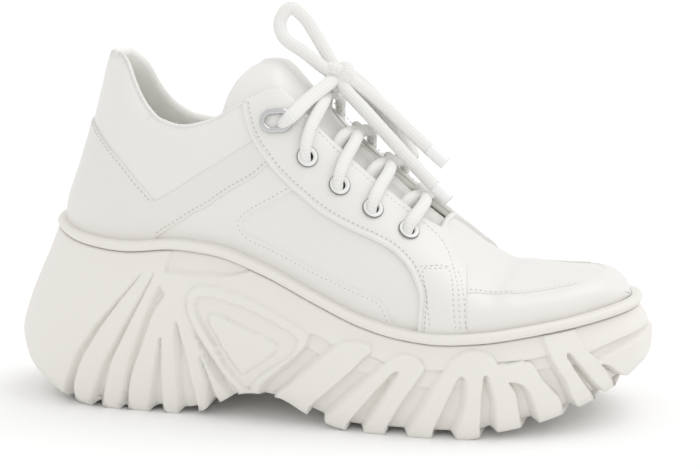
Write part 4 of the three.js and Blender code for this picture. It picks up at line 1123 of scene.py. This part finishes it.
def addInsole(shape):
    a = np.linspace(0.012, 0.988, shape["stations"])
    s = ((1 - np.cos(math.pi * a)) / 2)[:, None]
    w = np.linspace(-1, 1, shape["across"])[None]
    edges = []
    for side in (-1, 1):
        edges.append(lastPoint(s, 0.1, side, -shape["inset"]))
    outer, inner = edges
    share = (w + 1) / 2
    flat = outer * (1 - share[..., None]) + inner * share[..., None]
    seat = seatHeight(flat[..., 0] - middleShift[0])
    dish = shape["dish"] * (1 - w ** 2) + 0.9 * np.clip(np.abs(w) - 0.93, 0, 1) / 0.07
    top = np.concatenate([flat[..., :2], (seat + shape["high"] - dish)[..., None]], 2)
    low = np.concatenate([flat[..., :2], (seat + shape["low"] + 0 * w)[..., None]], 2)
    loop = np.concatenate([top, low[:, ::-1]], 1)
    count = loop.shape[1]
    index = np.arange(loop.shape[0] * count).reshape(loop.shape[:2])
    first, second = index[:-1], index[1:]
    faces = np.stack([first, second, np.roll(second, -1, 1), np.roll(first, -1, 1)], -1).reshape(-1, 4).tolist()
    faces += [index[0].tolist(), index[-1][::-1].tolist()]
    return newObject("insole_pad", loop.reshape(-1, 3), faces)


insole = addInsole(insoleShape)

# eyelets, keepers and the lace
keepers = {"place": (0.411, 0.517), "bar": 1.25, "round": 4.2, "straight": 2.1, "flat": 0.72, "turn": -0.75, "seat": 2.5}


def standOn(piece, place, lift, turn=0.0, sign=1):
    place = np.array(place)
    point = onUpper(place, np.array(lift))
    along = tangents(place[0], place[1])[0]
    out = outward(place[0], place[1])
    along = along / np.linalg.norm(along)
    across = np.cross(out, along)
    first = math.cos(turn) * along + math.sin(turn) * across
    second = np.cross(out, first)
    count = len(piece.data.vertices)
    co = np.zeros(count * 3)
    piece.data.vertices.foreach_get("co", co)
    co = co.reshape(-1, 3)
    moved = (point / 1000 + co[:, :1] * first + co[:, 1:2] * second + co[:, 2:] * out)
    piece.data.vertices.foreach_set("co", moved.ravel())
    piece.data.update()


# painted shade: the flange's outermost faces get a dark grey finish for the contact shadow round the eyelet, and the
# barrel's faces deep in the hole get it for the shade inside the hole
def paintEyeletShade(piece, reach):
    for face in piece.data.polygons:
        centre = face.center * 1000
        across = math.hypot(centre.x, centre.y)
        face.material_index = int(across > reach or centre.z < -0.9)


def addEyelet(name, place):
    flange, hole = eyelets["flange"], eyelets["hole"]
    bpy.ops.object.select_all(action="DESELECT")
    bpy.ops.mesh.primitive_torus_add(major_radius=(flange + hole) / 2000, minor_radius=(flange - hole) / 2000,
                                     major_segments=36, minor_segments=14)
    ringPiece = bpy.context.object
    ringPiece.name = name
    bpy.ops.transform.resize(value=(1, 1, 0.62))
    bpy.ops.object.transform_apply(location=True, rotation=True, scale=True)
    bpy.ops.mesh.primitive_cylinder_add(vertices=36, radius=(hole + 0.15) / 1000, depth=0.006, end_fill_type="NOTHING",
                                        location=(0, 0, -0.0028))
    barrel = bpy.context.object
    bpy.ops.object.transform_apply(location=True, rotation=True, scale=True)
    wall = barrel.modifiers.new("wall", "SOLIDIFY")
    wall.thickness = 0.0004
    wall.offset = 1
    bpy.ops.object.modifier_apply(modifier="wall")
    only(ringPiece, barrel)
    bpy.ops.object.join()
    bpy.ops.object.shade_smooth()
    # the flange rim and the hole take the dark painted shade finish
    paintEyeletShade(ringPiece, flange - 0.32)
    standOn(ringPiece, place, eyelets["seat"] + 0.35)
    return ringPiece


def addKeeper(name, place, side):
    bpy.ops.object.select_all(action="DESELECT")
    bpy.ops.mesh.primitive_torus_add(major_radius=keepers["round"] / 1000, minor_radius=keepers["bar"] / 1000,
                                     major_segments=56, minor_segments=18)
    piece = bpy.context.object
    piece.name = name
    for vertex in piece.data.vertices:
        vertex.co.x += keepers["straight"] / 1000 * (1 if vertex.co.x > 0 else -1)
    bpy.ops.transform.resize(value=(1, 1, keepers["flat"]))
    bpy.ops.object.transform_apply(location=True, rotation=True, scale=True)
    bpy.ops.object.shade_smooth()
    standOn(piece, place, keepers["seat"], side * keepers["turn"])
    return piece


eyeletPieces = {}
for number, place in enumerate(eyeletPlaces):
    name = "eyelet_" + ("outer" if number < 4 else "inner") + "_" + str(number % 4 + 1)
    eyeletPieces[name] = addEyelet(name + "_ring", place)
keeperPlace = placeAt(*keepers["place"])
keeperPieces = {
    "lace_keeper_outer": addKeeper("lace_keeper_outer_ring", keeperPlace, -1),
    "lace_keeper_inner": addKeeper("lace_keeper_inner_ring", mirrored([keeperPlace])[0], 1),
}

lacing = {"slant": 0.012, "width": 2.9, "thick": 0.8, "stay": 4.6, "tongue": -0.2, "leadWidth": 3.3, "leadThick": 0.66}


def overUpper(s, across, height):
    side = -1 if across < 0 else 1
    low, high = 0.16, 1.0
    for _ in range(24):
        v = (low + high) / 2
        y = lastPoint(s, v, side, height)[1] - middleShift[1] - shoe["ballWidth"] * middleLine(s)
        if abs(y) > abs(across):
            low = v
        else:
            high = v
    return lastPoint(s, low, side, height)


def strandRoute(spot, side):
    s, v = spot
    edge = shoe["ballWidth"] * float(throatHalf(s))
    slant, stay, low = lacing["slant"], lacing["stay"], lacing["tongue"]

    def onStay(alongShare, atV, height):
        return lastPoint(s + alongShare, atV, side, height)

    return [
        onStay(-0.004, v - 0.03, -3.5),
        onStay(-0.001, v - 0.012, 0.5),
        onStay(0.001, v + 0.02, 4.2),
        onStay(0.4 * slant, v + 0.5 * (0.74 - v), stay + 0.6),
        overUpper(s + slant, side * edge * 0.75, stay),
        overUpper(s + 0.4 * slant, side * 0.01, stay + 0.7 * (low - stay)),
        overUpper(s - 0.4 * slant, -side * edge * 0.4, low + 0.5),
        overUpper(s - slant, -side * (edge - 4.4), low),
        overUpper(s - 1.5 * slant, -side * (edge - 1.0), low - 2.6),
    ]


crossPieces = {}
for number, spot in enumerate(eyelets["places"]):
    pair = []
    for side, word in ((-1, "near"), (1, "far")):
        route = smoothRoute(strandRoute(spot, side), 46)
        pair.append(sweepTube("lace_cross_%d_%s" % (number + 1, word), route, lacing["width"], flat=lacing["thick"],
                              upHint=(0.75, 0, 0.66)))
    crossPieces["lace_cross_%d" % (number + 1)] = pair

# the lace's last run, from each keeper up to the knot
knotAt = np.array(bow["centre"])
leadPieces = []
for side, place in ((-1, keeperPlace), (1, mirrored([keeperPlace])[0])):
    start = onUpper(place + (0.011, side * -0.045), np.array(4.4))
    route = smoothRoute([
        onUpper(place + (0.004, 0), np.array(0.8)), start, 0.6 * start + 0.4 * knotAt + (0, side * 1.2, 0.8),
        0.25 * start + 0.75 * knotAt + (0, side * 0.8, 0.3), knotAt + (-1.0, side * 0.6, -0.6),
    ], 40)
    leadPieces.append(sweepTube("lace_lead_" + ("outer" if side < 0 else "inner"), route, lacing["leadWidth"],
                                flat=lacing["leadThick"], upHint=(0.3, side * 0.55, 0.7)))

knotShape = {"size": 1.65, "squash": 0.92, "cord": 3.1}


def addKnot(shape):
    t = np.linspace(0, 2 * math.pi, 120, endpoint=False)
    loop = np.stack([np.sin(t) + 2 * np.sin(2 * t), -np.sin(3 * t) * 1.25, np.cos(t) - 2 * np.cos(2 * t)], 1)
    route = knotAt + loop * shape["size"] * (1, shape["squash"], 0.95)
    return sweepTube("lace_knot_wrap", route, shape["cord"], closed=True)


knot = addKnot(knotShape)

print("laces placed")

# stitches, and the bead along the eyestay's rear edge
def addStitches(name, rows):
    bpy.ops.object.select_all(action="DESELECT")
    bpy.ops.mesh.primitive_uv_sphere_add(segments=8, ring_count=5, radius=0.5)
    pattern = bpy.context.object
    body = np.array([tuple(v.co) for v in pattern.data.vertices]) * (stitches["long"], stitches["wide"], stitches["high"])
    faces = [tuple(f.vertices) for f in pattern.data.polygons]
    bpy.data.objects.remove(pattern)
    points, allFaces = [], []
    for run, height in rows:
        path = resampled(run, stitches["pitch"])
        solid = onUpper(path, np.array(height) - stitches["sink"])
        tangent = np.gradient(solid, axis=0)
        tangent /= np.linalg.norm(tangent, axis=1, keepdims=True)
        out = outward(path[:, 0], path[:, 1])
        across = np.cross(out, tangent)
        for i in range(1, len(solid) - 1):
            start = len(points) * len(body)
            points.append(solid[i] + body[:, :1] * tangent[i] + body[:, 1:2] * across[i] + body[:, 2:] * out[i])
            allFaces += [tuple(start + k for k in face) for face in faces]
    return newObject(name, np.vstack(points), allFaces)


stitchRows = [(row, 1.5) for row in stayRows] + [(row, 0.82) for row in heelRows + [rowOver]]
for line, word in zip(insertLines, (0, 1)):
    away = placeAt(0.3, 0.1)
    away = mirrored([away])[0] if word else away
    stitchRows.append((shifted(line, 1.9, away), 0.0))
toeEnds = [toeLine[: len(toeLine) // 2], toeLine[len(toeLine) // 2:]]
toeEnds = [run[run[:, 0] < 0.815] for run in toeEnds]  # the toe's seam fades out before the tip
stitchRows += [(shifted(run, 1.9, placeAt(0.85, 0.98)), 0.0) for run in toeEnds]
stitching = addStitches("stitching", stitchRows)
print("stitches", len(stitching.data.polygons))

piping = {"radius": 1.15, "height": 0.95, "toeRadius": 0.5, "toeHeight": 0.35, "trim": 2}
pipingPieces = []
for run, word, away in ((rear, "outer", placeAt(0.4, 0.1)), (rearIn, "inner", mirrored([placeAt(0.4, 0.1)])[0])):
    line = shifted(run, 0.15, away)[piping["trim"]:]
    solid = onUpper(line, np.full(len(line), piping["height"]))
    pipingPieces.append(sweepTube("piping_" + word, solid, piping["radius"], around=12))
for run, word in zip(toeEnds, ("outer", "inner")):
    solid = onUpper(run, np.full(len(run), piping["toeHeight"]))
    pipingPieces.append(sweepTube("toe_bead_" + word, solid, piping["toeRadius"], around=12))

# finishes
def newGroup(name, inputs, outputs):
    group = bpy.data.node_groups.new(name, "ShaderNodeTree")
    for label, kind, value in inputs:
        socket = group.interface.new_socket(name=label, in_out="INPUT", socket_type=kind)
        socket.default_value = value
    for label, kind in outputs:
        group.interface.new_socket(name=label, in_out="OUTPUT", socket_type=kind)
    return group, group.nodes.new("NodeGroupInput"), group.nodes.new("NodeGroupOutput")


def mathNode(group, operation, first, second):
    node = group.nodes.new("ShaderNodeMath")
    node.operation = operation
    for i, source in enumerate((first, second)):
        if isinstance(source, float):
            node.inputs[i].default_value = source
        else:
            group.links.new(source, node.inputs[i])
    return node.outputs[0]


# the Factor mixes Dark into Light: a random tone for the grain, and for the braid and the cloth the weave's height,
# which paints shade into the hollows
def bumpAndTint(group, inward, outbound, height, factor, distance):
    nodes, links = group.nodes, group.links
    raised = nodes.new("ShaderNodeBump")
    raised.inputs["Distance"].default_value = distance
    links.new(inward.outputs["Depth"], raised.inputs["Strength"])
    links.new(height, raised.inputs["Height"])
    tint = nodes.new("ShaderNodeMix")
    tint.data_type = "RGBA"
    links.new(factor, tint.inputs["Factor"])
    links.new(inward.outputs["Dark"], tint.inputs["A"])
    links.new(inward.outputs["Light"], tint.inputs["B"])
    links.new(tint.outputs["Result"], outbound.inputs["Color"])
    links.new(raised.outputs["Normal"], outbound.inputs["Normal"])


def weaveLevel(group, waves):
    level = group.nodes.new("ShaderNodeMapRange")
    level.inputs["From Min"].default_value = -1
    group.links.new(mathNode(group, "MULTIPLY", *waves), level.inputs["Value"])
    return level.outputs["Result"]


def grainGroup():
    group, inward, outbound = newGroup("grain", [
        ("Scale", "NodeSocketFloat", 900.0), ("Depth", "NodeSocketFloat", 0.3), ("Light", "NodeSocketColor", (0.9, 0.9, 0.88, 1)),
        ("Dark", "NodeSocketColor", (0.8, 0.79, 0.77, 1)), ("Smooth", "NodeSocketFloat", 0.36), ("Rough", "NodeSocketFloat", 0.5),
    ], [("Color", "NodeSocketColor"), ("Roughness", "NodeSocketFloat"), ("Normal", "NodeSocketVector")])
    nodes, links = group.nodes, group.links
    place = nodes.new("ShaderNodeTexCoord")
    cells = nodes.new("ShaderNodeTexVoronoi")
    cells.feature = "DISTANCE_TO_EDGE"
    links.new(place.outputs["Object"], cells.inputs["Vector"])
    links.new(inward.outputs["Scale"], cells.inputs["Scale"])
    fine = nodes.new("ShaderNodeTexNoise")
    fine.inputs["Detail"].default_value = 6
    links.new(place.outputs["Object"], fine.inputs["Vector"])
    links.new(inward.outputs["Scale"], fine.inputs["Scale"])
    broad = nodes.new("ShaderNodeTexNoise")
    broad.inputs["Scale"].default_value = 14
    broad.inputs["Detail"].default_value = 3
    links.new(place.outputs["Object"], broad.inputs["Vector"])
    creased = nodes.new("ShaderNodeMath")
    creased.operation = "MINIMUM"
    creased.inputs[1].default_value = 0.09
    links.new(cells.outputs["Distance"], creased.inputs[0])
    scaled = nodes.new("ShaderNodeMath")
    scaled.operation = "MULTIPLY_ADD"
    scaled.inputs[1].default_value = 6.0
    links.new(creased.outputs[0], scaled.inputs[0])
    links.new(fine.outputs["Fac"], scaled.inputs[2])
    bumpAndTint(group, inward, outbound, scaled.outputs[0], broad.outputs["Fac"], 0.0002)
    gloss = nodes.new("ShaderNodeMapRange")
    links.new(fine.outputs["Fac"], gloss.inputs["Value"])
    links.new(inward.outputs["Smooth"], gloss.inputs["To Min"])
    links.new(inward.outputs["Rough"], gloss.inputs["To Max"])
    links.new(gloss.outputs["Result"], outbound.inputs["Roughness"])
    return group


# a braided cord: a bump from two crossed waves, with the waves' low points tinted Dark as painted shade in the braid's
# hollows
def braidGroup():
    group, inward, outbound = newGroup("braid", [
        ("Turns", "NodeSocketFloat", 6.0), ("Pitch", "NodeSocketFloat", 5.0), ("Depth", "NodeSocketFloat", 0.5),
        ("Light", "NodeSocketColor", (0.9, 0.89, 0.86, 1)), ("Dark", "NodeSocketColor", (0.74, 0.72, 0.67, 1)),
    ], [("Color", "NodeSocketColor"), ("Normal", "NodeSocketVector")])
    nodes, links = group.nodes, group.links
    place = nodes.new("ShaderNodeUVMap")
    place.uv_map = "along"
    split = nodes.new("ShaderNodeSeparateXYZ")
    links.new(place.outputs["UV"], split.inputs[0])
    waves = []
    for operation in ("ADD", "SUBTRACT"):
        turns = mathNode(group, "MULTIPLY", split.outputs["Y"], inward.outputs["Turns"])
        run = mathNode(group, "MULTIPLY", split.outputs["X"], inward.outputs["Pitch"])
        angle = mathNode(group, "MULTIPLY", mathNode(group, operation, turns, run), 2 * math.pi)
        waves.append(mathNode(group, "SINE", angle, 0.0))
    level = weaveLevel(group, waves)
    bumpAndTint(group, inward, outbound, level, level, 0.0003)
    return group


# a woven cloth: a bump from two crossed waves, with the weave's low points tinted Dark as painted shade in its hollows
def clothGroup():
    group, inward, outbound = newGroup("cloth", [
        ("Scale", "NodeSocketFloat", 1500.0), ("Depth", "NodeSocketFloat", 0.4),
        ("Light", "NodeSocketColor", (0.87, 0.86, 0.82, 1)), ("Dark", "NodeSocketColor", (0.77, 0.75, 0.7, 1)),
    ], [("Color", "NodeSocketColor"), ("Normal", "NodeSocketVector")])
    nodes, links = group.nodes, group.links
    place = nodes.new("ShaderNodeTexCoord")
    split = nodes.new("ShaderNodeSeparateXYZ")
    links.new(place.outputs["Object"], split.inputs[0])
    waves = []
    for axis in ("X", "Y"):
        scaled = mathNode(group, "MULTIPLY", split.outputs[axis], inward.outputs["Scale"])
        waves.append(mathNode(group, "SINE", scaled, 0.0))
    level = weaveLevel(group, waves)
    bumpAndTint(group, inward, outbound, level, level, 0.0002)
    return group


groups = {"grain": grainGroup(), "braid": braidGroup(), "cloth": clothGroup()}
finishes = {
    "whiteLeather": {"group": "grain", "Scale": 700.0, "Depth": 0.22, "Light": (0.832, 0.818, 0.785, 1), "Dark": (0.794, 0.78, 0.747, 1),
                     "Smooth": 0.34, "Rough": 0.46, "coat": 0.12},
    "creamLeather": {"group": "grain", "Scale": 700.0, "Depth": 0.22, "Light": (0.805, 0.786, 0.749, 1), "Dark": (0.768, 0.749, 0.712, 1),
                     "Smooth": 0.36, "Rough": 0.48, "coat": 0.1},
    "soleRubber": {"group": "grain", "Scale": 420.0, "Depth": 0.12, "Light": (0.84, 0.815, 0.772, 1), "Dark": (0.796, 0.772, 0.724, 1),
                   "Smooth": 0.42, "Rough": 0.58, "coat": 0.0},
    # the lace's Dark colour is painted shade in the braid's hollows
    "lace": {"group": "braid", "Turns": 6.0, "Pitch": 4.0, "Depth": 0.35, "Light": (0.872, 0.867, 0.843, 1), "Dark": (0.794, 0.784, 0.755, 1),
             "roughness": 0.75, "sheen": 0.25},
    # the lining's Dark colour is painted shade in the weave's hollows
    "lining": {"group": "cloth", "Scale": 6000.0, "Depth": 0.08, "Light": (0.937, 0.927, 0.886, 1), "Dark": (0.906, 0.896, 0.855, 1),
               "roughness": 0.85, "sheen": 0.2},
    "enamel": {"group": "grain", "Scale": 200.0, "Depth": 0.03, "Light": (0.862, 0.862, 0.843, 1), "Dark": (0.823, 0.823, 0.804, 1),
               "Smooth": 0.16, "Rough": 0.26, "coat": 0.5},
    # painted shadow, dark grey, for the contact shadow round the eyelets and the shade in their holes
    "eyeletPaintedShade": {"group": "grain", "Scale": 200.0, "Depth": 0.03, "Light": (0.27, 0.26, 0.25, 1), "Dark": (0.22, 0.21, 0.2, 1),
                   "Smooth": 0.3, "Rough": 0.4},
    "tip": {"group": "grain", "Scale": 900.0, "Depth": 0.05, "Light": (0.892, 0.892, 0.883, 1), "Dark": (0.854, 0.854, 0.834, 1),
            "Smooth": 0.12, "Rough": 0.25, "coat": 0.6},
    "silver": {"group": "grain", "Scale": 300.0, "Depth": 0.05, "Light": (0.66, 0.66, 0.67, 1), "Dark": (0.52, 0.52, 0.53, 1),
               "Smooth": 0.14, "Rough": 0.26, "metal": 1.0},
    # stitch thread: the thread's own near-white colour darkened to mid-grey as painted shade of the stitch holes, so
    # the rows read as dark dots
    "threadAndHoleShade": {"group": "grain", "Scale": 2500.0, "Depth": 0.5, "Light": (0.62, 0.6, 0.57, 1), "Dark": (0.5, 0.48, 0.45, 1),
               "Smooth": 0.6, "Rough": 0.8},
}


def makeFinish(name, settings):
    material = bpy.data.materials.new(name)
    material.use_nodes = True
    nodes, links = material.node_tree.nodes, material.node_tree.links
    shader = nodes["Principled BSDF"]
    effect = nodes.new("ShaderNodeGroup")
    effect.node_tree = groups[settings["group"]]
    for label in effect.inputs.keys():
        if label in settings:
            effect.inputs[label].default_value = settings[label]
    links.new(effect.outputs["Color"], shader.inputs["Base Color"])
    links.new(effect.outputs["Normal"], shader.inputs["Normal"])
    if "Roughness" in effect.outputs:
        links.new(effect.outputs["Roughness"], shader.inputs["Roughness"])
    else:
        shader.inputs["Roughness"].default_value = settings["roughness"]
    shader.inputs["Metallic"].default_value = settings.get("metal", 0.0)
    shader.inputs["Coat Weight"].default_value = settings.get("coat", 0.0)
    shader.inputs["Coat Roughness"].default_value = 0.3
    shader.inputs["Sheen Weight"].default_value = settings.get("sheen", 0.0)
    return material


materials = {name: makeFinish(name, settings) for name, settings in finishes.items()}


# the bow's pieces are already moved and named where they are made
def dress(piece, finish, nodes=()):
    piece.data.materials.append(materials[finish])
    if piece.name not in bowNames:
        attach(piece, "root")
        if nodes:
            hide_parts(*nodes)


bowNames = {piece.name for piece in list(bowCords.values()) + list(agletPieces.values())}
dress(upperSkin, "whiteLeather", ["upper"])
upperSkin.data.materials.append(materials["lining"])
upperSkin.data.polygons.foreach_set("material_index", liningFace.astype(np.int32))
dress(eyestay, "whiteLeather", ["eyestay_outer", "eyestay_inner"])
dress(heelCounter, "creamLeather", ["heel_counter"])
dress(toeGuard, "whiteLeather", ["toe_guard"])
dress(tongue, "whiteLeather", ["tongue"])
dress(insole, "lining", ["insole"])
dress(outsole, "soleRubber", ["outsole"])
dress(midsole, "soleRubber", ["midsole"])
for name, piece in eyeletPieces.items():
    dress(piece, "enamel", [name])
    # second slot: the dark painted shadow finish for each eyelet's rim and hole
    piece.data.materials.append(materials["eyeletPaintedShade"])
for name, piece in keeperPieces.items():
    dress(piece, "silver", [name])
for name, pair in crossPieces.items():
    for piece in pair:
        dress(piece, "lace", [name])
for piece in leadPieces:
    dress(piece, "lace")
dress(knot, "lace", ["lace_knot"])
for piece in agletPieces.values():
    dress(piece, "tip")
for piece in bowCords.values():
    dress(piece, "lace")
# the stitches take the grey thread finish, which carries painted shade of the stitch holes
dress(stitching, "threadAndHoleShade")
for piece in pipingPieces:
    dress(piece, "whiteLeather")
print("finishes set")

# floor and light
bpy.ops.object.select_all(action="DESELECT")
bpy.ops.mesh.primitive_plane_add(size=8, location=(0, 0, 0))
floor = bpy.context.object
floor.name = "floor"
floorFinish = bpy.data.materials.new("floorPaper")
floorFinish.use_nodes = True
floorShader = floorFinish.node_tree.nodes["Principled BSDF"]
floorShader.inputs["Base Color"].default_value = (0.965, 0.965, 0.965, 1)
floorShader.inputs["Roughness"].default_value = 0.9
floor.data.materials.append(floorFinish)
studio = {"air": (1.0, 1.0, 1.0, 1), "strength": 0.92, "key": 0.65, "keyFrom": (0.5, 0.25, 1.0), "keyAngle": 45.0}
world = bpy.data.worlds.new("studio")
bpy.context.scene.world = world
world.use_nodes = True
world.node_tree.nodes["Background"].inputs["Color"].default_value = studio["air"]
world.node_tree.nodes["Background"].inputs["Strength"].default_value = studio["strength"]


def addKey(settings):
    data = bpy.data.lights.new("key", "SUN")
    data.energy = settings["key"]
    data.angle = math.radians(settings["keyAngle"])
    lamp = bpy.data.objects.new("key", data)
    lamp.location = settings["keyFrom"]
    lamp.rotation_euler = Vector(settings["keyFrom"]).to_track_quat("Z", "Y").to_euler()
    bpy.context.scene.collection.objects.link(lamp)


addKey(studio)
bpy.context.scene.view_settings.view_transform = "Standard"  # whites stay white
print("scene ready")
